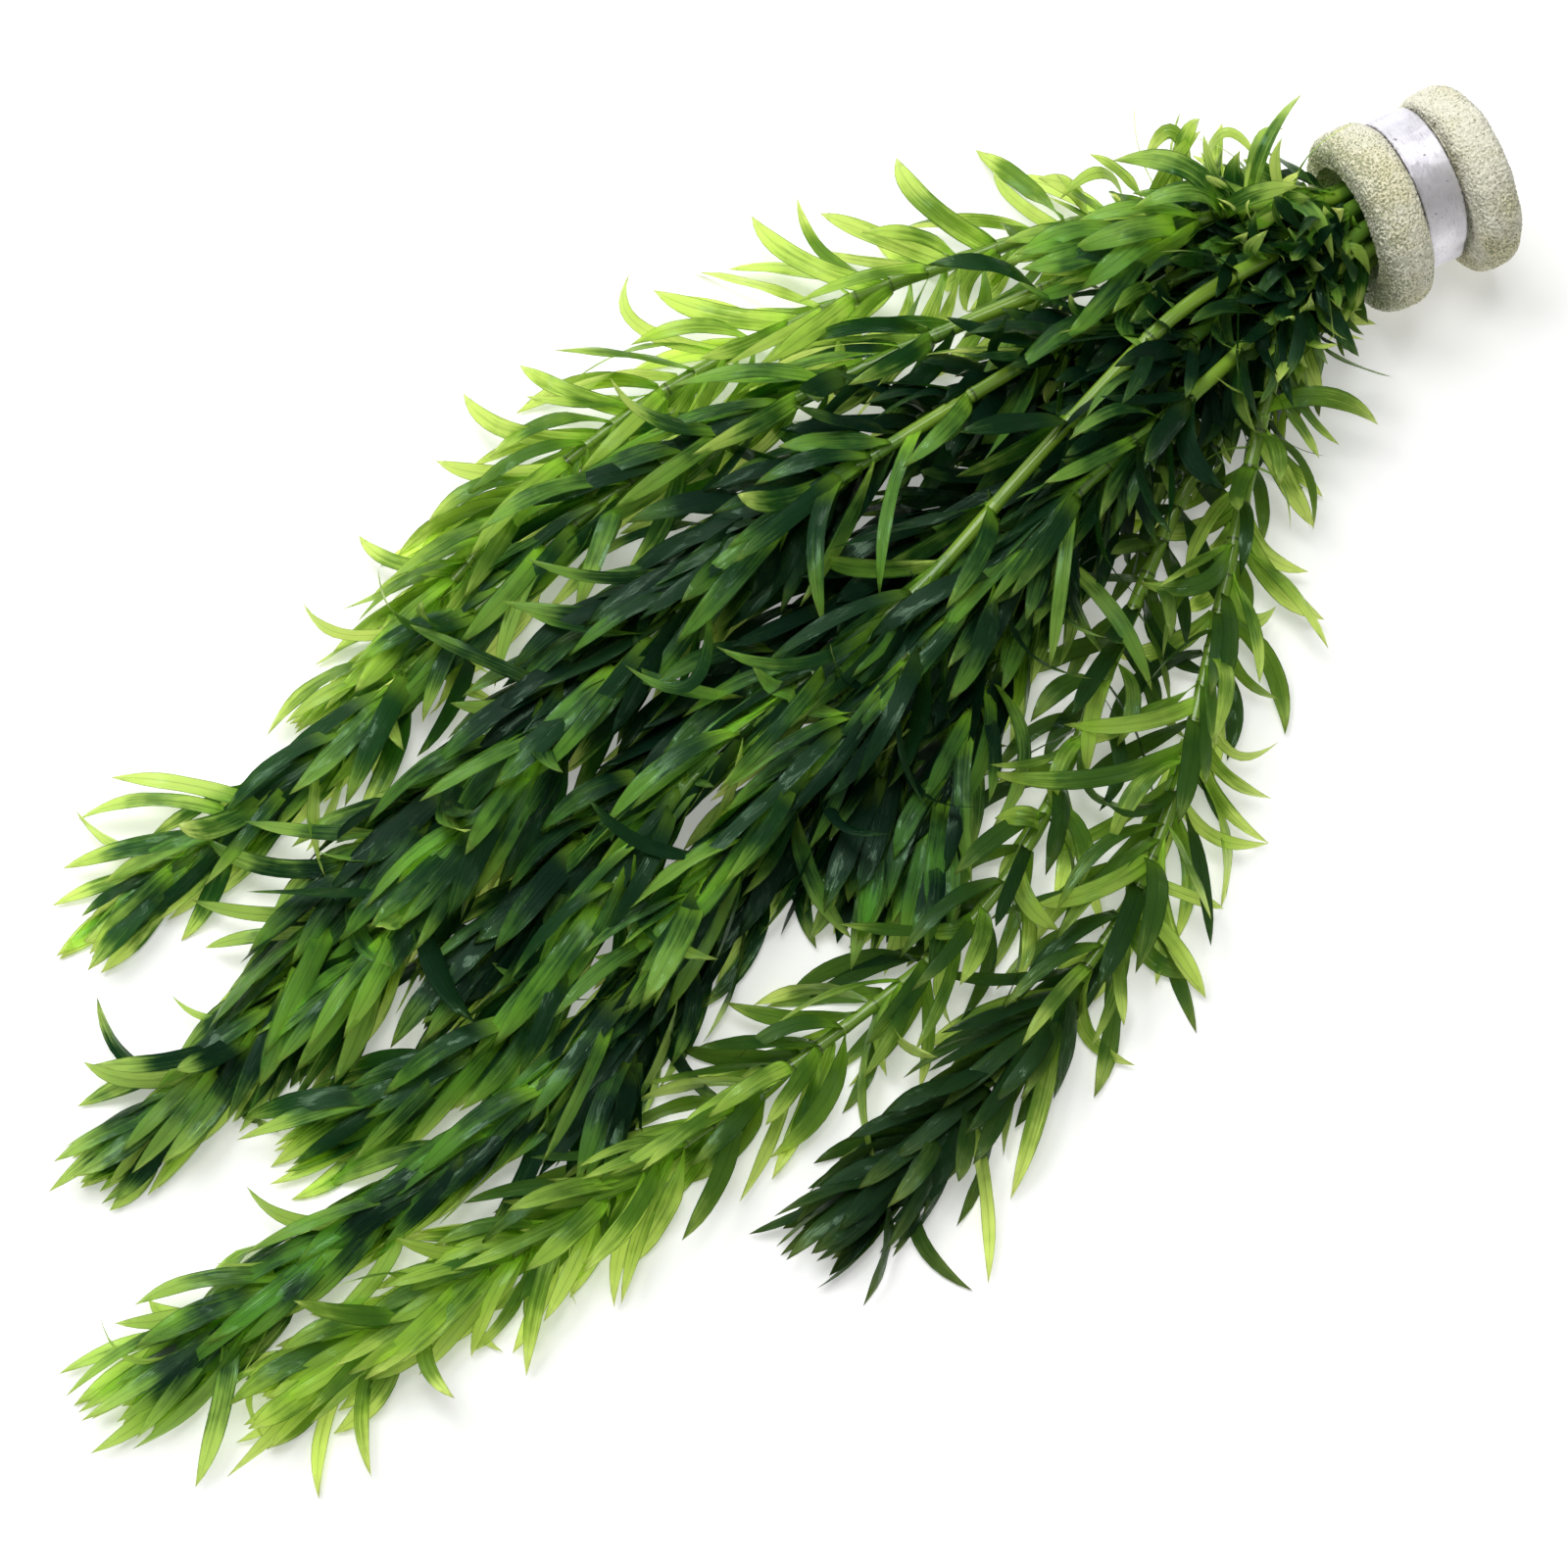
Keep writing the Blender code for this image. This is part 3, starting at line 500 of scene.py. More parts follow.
def push_apart(one, two, room_one, room_two, up):
    """Moves that give two stems their room; up is 1 where the first lies over the second, and -1 under it."""
    apart = one[:, None] - two[None]
    distance = np.linalg.norm(apart, axis=2, keepdims=True)
    away = apart / distance * (SIDEWAYS_SHARE, SIDEWAYS_SHARE, 0) + np.array((0, 0, up))
    short = np.minimum(room_one[:, None], room_two[None])[:, :, None] - distance
    pushes = PUSH_SHARE * np.clip(short, 0, None) * away
    worst_one = short[:, :, 0].argmax(axis=1)
    worst_two = short[:, :, 0].argmax(axis=0)
    return pushes[np.arange(len(one)), worst_one], -pushes[worst_two, np.arange(len(two))]


def settle(routes, layers):
    """Pile the stems up: where two meet, the upper layer moves up and the lower one down to the surface."""
    homes = [route.copy() for route in routes]
    rooms, floors, free = [], [], []
    for route in routes:
        out = np.clip((PLANT_END - route[:, 0]) / OPEN_DISTANCE, 0, 1)
        rooms.append(MOUTH_ROOM + (OPEN_ROOM - MOUTH_ROOM) * out)
        floors.append(np.linspace(FLOOR_ROOM, TIP_FLOOR_ROOM, len(route)))
        free.append(~in_collar(route)[:, None])
    for _ in range(SETTLE_ROUNDS):
        moves = [np.zeros_like(route) for route in routes]
        for one, two in combinations(range(len(routes)), 2):
            up = 1 if layers[one] > layers[two] else -1
            push_one, push_two = push_apart(routes[one], routes[two], rooms[one], rooms[two], up)
            moves[one] += push_one
            moves[two] += push_two
        for route, home, move, floor, loose in zip(routes, homes, moves, floors, free):
            move[1:-1] += SMOOTHING * (route[:-2] + route[2:] - 2 * route[1:-1])
            move += (home - route) * PULL_HOME
            route += move * loose
            route[:, 2] = np.maximum(route[:, 2], floor)
    return routes


class Stem:
    """A settled stem that can be asked for its place, frame and radius at any length along it."""

    def __init__(self, route):
        self.route = route
        self.lengths = lengths_along(route)
        self.length = float(self.lengths[-1])
        self.mouth = float(np.interp(-PLANT_END, -route[:, 0], self.lengths))
        self.frames = []
        side = Vector((0, 1, 0))
        for slope in np.gradient(route, axis=0):
            tangent = Vector(slope).normalized()
            side = (side - tangent * side.dot(tangent)).normalized()
            self.frames.append((tangent, side, tangent.cross(side)))

    def place(self, along):
        point = Vector([np.interp(along, self.lengths, self.route[:, axis]) for axis in range(3)])
        index = min(int(np.searchsorted(self.lengths, along)), len(self.frames) - 1)
        radius = STEM_RADIUS + (STEM_TIP_RADIUS - STEM_RADIUS) * float(along / self.length)
        return point, self.frames[index], radius

    def nearest(self, point):
        """Length along the stem at which it passes closest to a point."""
        return float(self.lengths[np.linalg.norm(self.route - point, axis=1).argmin()])

    def out(self, along):
        """Share of the leafy length, 0 at the collar's mouth and 1 at the tip."""
        return min(max((along - self.mouth) / (self.length - self.mouth), 0), 1)

    def ring(self, along):
        point, (_, side, lift), radius = self.place(along)
        angles = [2 * math.pi * (corner + 0.5) / STEM_SIDES for corner in range(STEM_SIDES)]
        return [point + turned(side, lift, angle) * radius for angle in angles]

    def whorls(self):
        """Lengths at which leaves grow, counted back from the tip, where they are closest."""
        places = [self.length - TIP_WHORL]
        while places[-1] > self.mouth + FIRST_WHORL:
            places.append(places[-1] - between(WHORL_SPACING, self.out(places[-1])))
        return places[:-1]


class Blade:
    """One leaf: where it starts, passes and ends, and how it lies."""

    def __init__(self, base, tangent, outward, length, angles, droop, draw, share):
        root = sum(base, Vector()) / len(base)
        first, last = [tangent * math.cos(angle) + outward * math.sin(angle) for angle in angles]
        self.root = root
        self.middle = root + first * length * LEAF_MIDDLE
        self.tip = self.middle + last * length * (1 - LEAF_MIDDLE)
        self.middle.z -= droop * MIDDLE_DROOP * length
        self.tip.z = max(self.tip.z - droop * DROOP * length, 0)
        self.around = tangent.cross(outward)
        self.midway = LEAF_MIDDLE
        self.width = between(LEAF_WIDTHS, share) * draw.uniform(*WIDTH_RANGE)
        self.twist = math.radians(draw.gauss(0, between(TWISTS, share)))
        self.fold = draw.uniform(*HABITS["loose"]["fold"])
        self.bend = draw.gauss(0, between(BENDS, share)) * length
        self.tint = draw.random()
        self.share = share
        self.least_shade = 0
        self.limpness = draw.uniform(*LEVELLING)
        self.lift = draw.uniform(*FLOOR_LIFT)


def solid_blade(stem, number, whorl, leaf_number, along, shoot, tips):
    """The leaf that the solid has at this place, found by its tip among the solid's own corners."""
    low, high = stem.ring(along), stem.ring(along + BAND_HEIGHT)
    face = 2 * leaf_number + whorl % 2
    base = [low[face], low[(face + 1) % STEM_SIDES], high[(face + 1) % STEM_SIDES], high[face]]
    point, (tangent, _, _), _ = stem.place(along)
    outward = sum(base, Vector()) / len(base) - point
    outward = (outward - tangent * outward.dot(tangent)).normalized()
    share = stem.out(along)
    draw = random.Random(f"{number} {whorl} {leaf_number}")
    length = between(shoot["leaves"], share) * draw.uniform(*LENGTH_RANGE)
    start = math.radians(between(LEAF_START_ANGLES, share)) * shoot["spread"] * draw.uniform(*START_RANGE)
    end = math.radians(between(LEAF_END_ANGLES, share)) * shoot["spread"] * draw.uniform(*END_RANGE)
    for shorter, spread in LEAF_FOLDS:
        for swing in LEAF_SWINGS:
            for droop in (1, 0):
                swung = Matrix.Rotation(swing, 3, tangent) @ outward
                looks = random.Random(f"looks {number} {whorl} {leaf_number}")
                blade = Blade(base, tangent, swung, length * shorter, (start * spread, end * spread), droop,
                              looks, share)
                if tips.find(blade.tip)[2] < SAME_PLACE:
                    return blade
    return None


def clear_of_collar(tip):
    """Whether a leaf's tip neither passes the collar's mouth nor hangs low beside it."""
    return tip.x < PLANT_END and (tip.x < LOW_TIP_FREE_FROM or tip.z > LOW_TIP)


def drawn(draw, ranges, share):
    """A random value from a range that changes along the shoot."""
    low, high = ranges
    return draw.uniform(between(low, share), between(high, share))


def fill_blades(stem, name, whorl, along, shoot, taken, fullness=1):
    """Leaves that the solid leaves out of a whorl: most hug the shoot, a few hook outwards."""
    share = stem.out(along)
    point, (tangent, side, lift), radius = stem.place(along)
    habit = HABITS[shoot["habit"]]
    blades = []
    start_turn = random.Random(f"turn {name} {whorl}").uniform(0, 2 * math.pi)
    count = round(between(shoot["full"], share) * fullness) - len(taken)
    for leaf_number in range(count):
        draw = random.Random(f"fill {name} {whorl} {leaf_number}")
        turn = start_turn + 2 * math.pi * leaf_number / count + draw.gauss(0, TURN_JITTER)
        outward = turned(side, lift, turn)
        if is_bare(shoot, share) and outward.z > FACES_UP:
            continue
        if share > RIDGE_FROM and outward.z > RIDGE_SIDE and draw.random() < habit["ridge"]:
            continue
        length = between(shoot["leaves"], share) * drawn(draw, FILL_LENGTH, share)
        if draw.random() < HOOK_SHARE:
            start, end = draw.uniform(*HOOK_START), draw.uniform(*HOOK_END)
        else:
            start, end = drawn(draw, habit["start"], share), drawn(draw, habit["end"], share)
        root = point + outward * radius * ROOT_DEPTH
        angles = (math.radians(start), math.radians(end))
        blade = Blade([root], tangent, outward, length, angles, draw.uniform(*FILL_DROOP), draw, share)
        blade.fold = draw.uniform(*habit["fold"])
        blade.width *= habit["width"]
        if blade.tip.z < TOP_HEIGHT and clear_of_collar(blade.tip):
            blades.append(blade)
    return blades


def mouth_blades(stem, name, shoot):
    """Short, curly leaves pressed out of the collar's mouth."""
    blades = []
    for whorl in range(MOUTH_WHORLS):
        along = stem.mouth + MOUTH_FIRST + whorl * MOUTH_WHORL_STEP
        point, (tangent, side, lift), radius = stem.place(along)
        for leaf_number in range(MOUTH_LEAVES):
            draw = random.Random(f"mouth {name} {whorl} {leaf_number}")
            turn = draw.uniform(0, 2 * math.pi)
            outward = turned(side, lift, turn)
            angles = (math.radians(draw.uniform(*MOUTH_START)), math.radians(draw.uniform(*MOUTH_END)))
            length = shoot["leaves"][0] * draw.uniform(*MOUTH_LENGTH)
            root = point + outward * radius * ROOT_DEPTH
            blade = Blade([root], tangent, outward, length, angles, draw.uniform(*MOUTH_DROOP), draw, 0)
            blade.least_shade = MOUTH_SHADE
            blade.width *= MOUTH_WIDTH
            if clear_of_collar(blade.tip):
                blades.append(blade)
    return blades


def placed_blades(stem, name):
    """The shoot's leaves that are given one by one."""
    blades = []
    for number, (start, middle, tip, width) in enumerate(PLACED_LEAVES.get(name, [])):
        draw = random.Random(f"placed {name} {number}")
        along = stem.nearest(start)
        root, (tangent, side, _), _ = stem.place(along)
        blade = Blade([root], tangent, side, 1, (0, 0), 0, draw, stem.out(along))
        blade.middle, blade.tip = Vector(middle), Vector(tip)
        before, after = (blade.middle - root).length, (blade.tip - blade.middle).length
        blade.midway = before / (before + after)
        curl = (blade.middle - root).cross(blade.tip - blade.middle)
        blade.around = curl.normalized() if curl.z > 0 else -curl.normalized()
        blade.width, blade.bend = width, 0
        blade.tint = PLACED_TINT + (1 - PLACED_TINT) * blade.tint
        blade.least_shade = PLACED_SHADE
        blades.append(blade)
    return blades


def bud_blades(stem, name, shoot):
    """Upright leaves that close the tip of a shoot, the inner ones still small."""
    point, (tangent, side, lift), _ = stem.place(stem.length)
    blades = []
    for leaf_number in range(BUD_LEAVES):
        draw = random.Random(f"bud {name} {leaf_number}")
        turn = leaf_number * BUD_TURN
        outward = turned(side, lift, turn)
        length = shoot["leaves"][2] * (BUD_LENGTH[0] + BUD_LENGTH[1] * leaf_number)
        start = BUD_START[0] + BUD_START[1] * leaf_number
        angles = (math.radians(start), math.radians(draw.uniform(*BUD_END)))
        root = point - tangent * (BUD_STEP * leaf_number) + outward * BUD_REACH
        blades.append(Blade([root], tangent, outward, length, angles, BUD_DROOP, draw, 1))
    return blades


def is_bare(shoot, share):
    """Whether the stem shows from above at this share of the leafy length."""
    return shoot["bare"][0] < share < shoot["bare"][1]


def unit(vectors):
    """The same vectors at a length of 1."""
    return vectors / np.maximum(np.linalg.norm(vectors, axis=-1, keepdims=True), LEAST_LENGTH)


def dot(one, two):
    return (one * two).sum(axis=-1, keepdims=True)


def column(blades, part, axes):
    """One number of each leaf, as an array with this many axes."""
    return np.array([getattr(blade, part) for blade in blades]).reshape(-1, *[1] * (axes - 1))


def blade_paths(blades, other_stems):
    """Middle lines of many leaves, bent clear of other stems, the collar and the surface."""
    root, middle, tip, around = [
        np.array([getattr(blade, part)[:] for blade in blades])[:, None]
        for part in ("root", "middle", "tip", "around")
    ]
    midway = column(blades, "midway", 3)
    share = np.linspace(0, 1, LEAF_RINGS + 1)[None, :, None]
    pull = (middle - (1 - midway) ** 2 * root - midway ** 2 * tip) / (2 * midway * (1 - midway))
    path = (1 - share) ** 2 * root + 2 * share * (1 - share) * pull + share ** 2 * tip
    path = path + around * column(blades, "bend", 3) * share ** 2

    apart = path[:, :, None] - other_stems[None, None]
    distance = np.linalg.norm(apart, axis=3)
    nearest = distance.argmin(axis=2)
    gap = np.take_along_axis(distance, nearest[:, :, None], 2)
    away = np.take_along_axis(apart, nearest[:, :, None, None], 2)[:, :, 0] / np.maximum(gap, LEAST_GAP)
    path += away * np.clip(STEM_RADIUS + STEM_ROOM - gap, 0, None) * np.minimum(share / FREE_FROM, 1)

    radial = np.hypot(path[:, :, 1], path[:, :, 2] - AXIS_HEIGHT)
    over = (path[:, :, 0] > PLANT_END - COLLAR_ROOM) & (radial < FOAM_RADIUS + COLLAR_REACH)
    path[:, :, 0] = np.where(over, PLANT_END - COLLAR_ROOM, path[:, :, 0])

    lift, height = column(blades, "lift", 2), path[:, :, 2]
    softened = height / (height + FLOOR_SOFTNESS * np.exp(-height))
    path[:, :, 2] = lift + np.where(height > lift, height - lift, 0) * softened
    return path


def leaf_meshes(blades, other_stems):
    """Points, faces and marks of closed, thin leaves: broad part way along, pointed, folded and twisted."""
    path = blade_paths(blades, other_stems)
    share = np.linspace(0, 1, LEAF_RINGS + 1)
    around = np.array([blade.around[:] for blade in blades])[:, None]
    way = unit(np.gradient(path, axis=1))
    across = unit(around - way * dot(around, way))
    level = unit(np.cross(way, (0, 0, 1)))
    level = level * np.where(dot(across, level).mean(axis=1, keepdims=True) < 0, -1, 1)
    limpness = column(blades, "limpness", 2) * np.clip(share / LEVEL_FROM, 0, 1)
    across = unit(across + (level - across) * limpness[:, :, None])
    normal = np.cross(way, across)
    twist = column(blades, "twist", 3) * share[None, :, None]
    across = across * np.cos(twist) + normal * np.sin(twist)
    lying = np.clip(path[:, :, 2] / LYING_HEIGHT, *FLATTENING)
    across[:, :, 2] *= lying
    across = unit(across - way * dot(across, way) * ACROSS_KEPT)
    normal = np.cross(way, across)

    rise = np.clip(share / NECK_END, 0, 1)
    taper = np.clip((share - TAPER_START) / (1 - TAPER_START), 0, 1)
    shape = (LEAF_NECK + (1 - LEAF_NECK) * rise * rise * (3 - 2 * rise)) * (1 - taper ** TAPER_POWER)
    half = column(blades, "width", 2) * shape[None] / 2
    fold, tint = column(blades, "fold", 2), column(blades, "tint", 2)
    ripple = RIPPLE * np.sin(share[None] * RIPPLE_WAVES + tint * RIPPLE_SHIFT)
    thickness = LEAF_THICKNESS / 2 * np.minimum(1, shape * TIP_THINNING)[None]
    rings, marks = [], []
    for points, face in ((TOP_POINTS, 1), (UNDER_POINTS, -1)):
        for place in points:
            up = face * (1 - abs(place)) * thickness + abs(place) * half * fold + place * ripple * half
            rings.append(path + across * (place * half)[:, :, None] + normal * up[:, :, None])
            marks.append(place)
    section = len(rings)
    rings = np.stack(rings, axis=2)[:, :-1]
    rings[:, :, :, 2] = np.maximum(rings[:, :, :, 2], FLOOR_GAP)
    base, tip = path[:, 0], path[:, -1]
    points = np.concatenate([base[:, None], rings.reshape(len(blades), -1, 3), tip[:, None]], axis=1)

    along = np.concatenate([[0], np.repeat(share[:-1], section), [1]])
    sideways = np.concatenate([[0], np.tile(marks, LEAF_RINGS), [0]])
    mark = np.stack([np.tile(along, (len(blades), 1)), np.tile(sideways, (len(blades), 1)),
                     np.repeat(tint, len(along), 1)], axis=2)

    last = 1 + section * LEAF_RINGS
    pattern = []
    for side in range(section):
        following = (side + 1) % section
        pattern.append((0, 1 + side, 1 + following))
        for ring in range(LEAF_RINGS - 1):
            low, high = 1 + ring * section, 1 + (ring + 1) * section
            pattern.append((low + following, low + side, high + side, high + following))
        pattern.append((last, last - section + following, last - section + side))
    faces = []
    for leaf in range(len(blades)):
        start = leaf * points.shape[1]
        faces += [tuple(start + corner for corner in face) for face in pattern]
    return points.reshape(-1, 3), faces, mark.reshape(-1, 3)


def tube_faces(rings, corners):
    """Faces round a tube of rings that have the same number of corners, and its two caps."""
    faces = [tuple(range(corners))]
    for start in range(0, (rings - 1) * corners, corners):
        for step in range(corners):
            low, low_next = start + step, start + (step + 1) % corners
            faces.append((low_next, low, low + corners, low_next + corners))
    faces.append(tuple((rings - 1) * corners + step for step in reversed(range(corners))))
    return faces


def stem_mesh(stem, nodes, shoot):
    """A round stem, swollen a little at each node, closed at both ends."""
    whorls = sorted(nodes)
    count = int(stem.length / ROUND_STEP)
    points, marks = [], []
    for step in range(count + 1):
        along = stem.length * step / count
        point, (_, side, lift), radius = stem.place(along)
        gap = min(abs(along - place) for place in whorls)
        swell = math.exp(-(gap / NODE_LENGTH) ** 2)
        before = max([place for place in whorls if place <= along], default=0)
        after = min([place for place in whorls if place > along], default=stem.length)
        internode = (along - before) / max(after - before, ROUND_STEP)
        narrow = 1 if step < count else LAST_RING
        # Where the stem shows bare it keeps its bright colour; the material paints the rest darker as shade
        # under the leaves
        bare = float(is_bare(shoot, stem.out(along)))
        for corner in range(ROUND_SIDES):
            angle = 2 * math.pi * corner / ROUND_SIDES
            reach = radius * (SLIMNESS + NODE_SWELL * swell) * narrow
            points.append(point + turned(side, lift, angle) * reach)
            marks.append((internode, swell, bare))
    faces = [face[::-1] for face in tube_faces(count + 1, ROUND_SIDES)]
    return np.array([point[:] for point in points]), faces, np.array(marks)


def add_mesh(name, points, faces, materials, indices, marks):
    """Make a smooth object in metres from points in millimetres, with named marks at each point."""
    mesh = bpy.data.meshes.new(name)
    mesh.from_pydata((np.asarray(points) * MM).tolist(), [], faces)
    for material in materials:
        mesh.materials.append(material)
    mesh.polygons.foreach_set("material_index", indices)
    mesh.polygons.foreach_set("use_smooth", [True] * len(faces))
    for mark_name, values in marks.items():
        kind, field = ("FLOAT", "value") if np.ndim(values) == 1 else ("FLOAT_VECTOR", "vector")
        attribute = mesh.attributes.new(mark_name, kind, "POINT")
        attribute.data.foreach_set(field, np.asarray(values, np.float32).ravel())
    mesh.update()
    thing = bpy.data.objects.new(name, mesh)
    bpy.context.scene.collection.objects.link(thing)
    return thing


def sharpen_borders(mesh, leaf_marks):
    """Keep each leaf flat up to its border, with no smooth shading round the edge to its underside."""
    ends = np.zeros(2 * len(mesh.edges), np.int32)
    mesh.edges.foreach_get("vertices", ends)
    sideways = np.append(leaf_marks[:, 1], np.zeros(len(mesh.vertices) - len(leaf_marks)))
    sideways = sideways[ends.reshape(-1, 2)]
    sharp = (np.abs(sideways) == 1).all(axis=1) & (sideways[:, 0] == sideways[:, 1])
    mesh.attributes.new("sharp_edge", "BOOLEAN", "EDGE").data.foreach_set("value", sharp)


def leaf_shade(shoot, blade):
    """How pale a leaf is, 0 for the darkest and 1 for the palest; shoots of a middling shade vary most. The
    value is partly the leaf's own age and tone and partly painted shade: shoots low in the pile and the crowded
    leaves by the collar are given low values.
    """
    shade = max(between(shoot["shade"], blade.share), blade.least_shade)
    return shade + SHADE_SPREAD * min(shade, 1 - shade) * (2 * blade.tint - 1)


def make_shoot(number, name, shoot, stems, materials):
    """Join a shoot's stem and all its leaves into one piece that stands for its solid."""
    stem = stems[number]
    corners = frame["nodes"][name].data.vertices
    tips = kdtree.KDTree(len(corners))
    for index, corner in enumerate(corners):
        tips.insert(corner.co / MM, index)
    tips.balance()
    blades = bud_blades(stem, name, shoot) + mouth_blades(stem, name, shoot) + placed_blades(stem, name)
    whorls = stem.whorls()
    solid = whorls[::SOLID_WHORL_EVERY][::-1]
    grown = []
    for whorl, along in enumerate(whorls):
        share = stem.out(along)
        taken = []
        if is_bare(shoot, share) and along not in solid:
            continue
        if along in solid:
            index = solid.index(along)
            found = [solid_blade(stem, number, index, leaf, along, shoot, tips)
                     for leaf in range(SOLID_LEAVES)]
            taken = [blade for blade in found if blade and clear_of_collar(blade.tip)]
        blades += taken + fill_blades(stem, name, whorl, along, shoot, taken)
        grown.append(along)
        if not is_bare(shoot, share):
            halfway = along - between(WHORL_SPACING, share) / 2
            blades += fill_blades(stem, name, -1 - whorl, halfway, shoot, [], BETWEEN_SHARE)
    others = np.concatenate([other.route for index, other in enumerate(stems) if index != number])
    leaf_points, leaf_faces, leaf_marks = leaf_meshes(blades, others)
    shades = np.repeat([leaf_shade(shoot, blade) for blade in blades], len(leaf_points) // len(blades))
    stem_points, stem_faces, stem_marks = stem_mesh(stem, grown, shoot)
    stem_faces = [tuple(corner + len(leaf_points) for corner in face) for face in stem_faces]
    # The shade mark carries each leaf's own tone together with its painted shade
    marks = {
        "growth": np.concatenate([leaf_marks, stem_marks]),
        "shade": np.append(shades, np.zeros(len(stem_points))),
    }
    piece = add_mesh(
        name + "_leafy", np.concatenate([leaf_points, stem_points]), leaf_faces + stem_faces,
        materials, [0] * len(leaf_faces) + [1] * len(stem_faces), marks,
    )
    sharpen_borders(piece.data, leaf_marks)
    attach(piece, BODY)
    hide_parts(name)


def slot_of(node):
    """Material slot that the record gives a node."""
    return next(part["material_slot"] for part in frame["record"]["subparts"] if part["node"] == node)


class Nodes:
    """A short way to add and join the nodes of one material."""

    def __init__(self, name):
        self.material = bpy.data.materials.new(name)
        self.material.use_nodes = True
        self.tree = self.material.node_tree
        self.tree.nodes.clear()

    def add(self, kind, inputs=None, **settings):
        node = self.tree.nodes.new("ShaderNode" + kind)
        for setting, value in settings.items():
            setattr(node, setting, value)
        for key, value in (inputs or {}).items():
            if isinstance(value, bpy.types.NodeSocket):
                self.tree.links.new(value, node.inputs[key])
            else:
                node.inputs[key].default_value = value
        return node

    def marks(self, name):
        """The three parts of a mark that the mesh carries at its points."""
        carried = self.add("Attribute", attribute_name=name).outputs["Vector"]
        return self.add("SeparateXYZ", {0: carried}).outputs

    def place(self):
        return self.add("TexCoord").outputs["Object"]

    def joined(self, *parts):
        return self.add("CombineXYZ", dict(enumerate(parts))).outputs[0]

    def math(self, operation, *values):
        return self.add("Math", dict(enumerate(values)), operation=operation).outputs[0]

    def times(self, one, two):
        return self.math("MULTIPLY", one, two)

    def plus(self, one, two):
        return self.math("ADD", one, two)

    def line(self, value, slope, start):
        """The value times a slope, plus a start."""
        return self.math("MULTIPLY_ADD", value, slope, start)

    def mix(self, factor, one, two):
        return self.add("Mix", {0: factor, 6: one, 7: two}, data_type="RGBA").outputs[2]

    def ramp(self, value, low, high):
        """Grow smoothly from 0 where the value is low to 1 where it is high."""
        inputs = {"Value": value, "From Min": low, "From Max": high}
        return self.add("MapRange", inputs, interpolation_type="SMOOTHSTEP").outputs[0]

    def noise(self, vector, scale, detail=2.0, roughness=0.5):
        inputs = {"Vector": vector, "Scale": scale, "Detail": detail, "Roughness": roughness}
        return self.add("TexNoise", inputs).outputs[0]

    def bump(self, height, strength, distance):
        return self.add("Bump", {"Strength": strength, "Distance": distance, "Height": height}).outputs[0]

    def finish(self, shader):
        output = self.add("OutputMaterial")
        self.tree.links.new(shader, output.inputs["Surface"])
        return self.material


# Leaf colours by slot: deep and fresh colour of the face, then of the light that comes through
LEAF_COLOURS = {
    "shoot_pale": {
        "face": ((0.014, 0.042, 0.01, 1), (0.09, 0.14, 0.025, 1)),
        "through": ((0.4, 0.52, 0.14, 1), (0.82, 0.87, 0.45, 1)),
    },
    "shoot_green": {
        "face": ((0.005, 0.023, 0.009, 1), (0.034, 0.092, 0.014, 1)),
        "through": ((0.15, 0.3, 0.06, 1), (0.85, 0.9, 0.46, 1)),
    },
    "shoot_dark": {
        "face": ((0.003, 0.015, 0.008, 1), (0.02, 0.064, 0.013, 1)),
        "through": ((0.06, 0.16, 0.045, 1), (0.76, 0.85, 0.4, 1)),
    },
}
# How finely the streaks and the wet film vary across a leaf, along it and from leaf to leaf
STREAKS = (3.2, 1.6, 60.0)
FILM = (0.9, 4.0, 80.0)
# Colours of the face and of the light through where the shade mark is low: the old leaves' own deep green, and
# painted shade on the shoots low in the pile
AGED_AND_SHADED_COLOUR = (0.002, 0.012, 0.006, 1)
AGED_AND_SHADED_THROUGH = (0.03, 0.09, 0.02, 1)
BASE_COLOUR = (0.16, 0.3, 0.025, 1)
# Stem colours by slot: where it shows bare, and among the leaves, where the darker colour is painted shade
STEM_COLOURS = {
    "shoot_pale": ((0.33, 0.52, 0.05, 1), (0.24, 0.42, 0.05, 1)),
    "shoot_green": ((0.27, 0.46, 0.04, 1), (0.15, 0.31, 0.035, 1)),
    "shoot_dark": ((0.2, 0.38, 0.03, 1), (0.08, 0.2, 0.02, 1)),
}
SHEEN_COLOUR = (0.62, 1.0, 0.66, 1)
EDGE_COLOUR = (0.004, 0.014, 0.004, 1)
THROUGH_EDGE_COLOUR = (0.05, 0.11, 0.015, 1)
NODE_COLOUR = (0.05, 0.09, 0.012, 1)


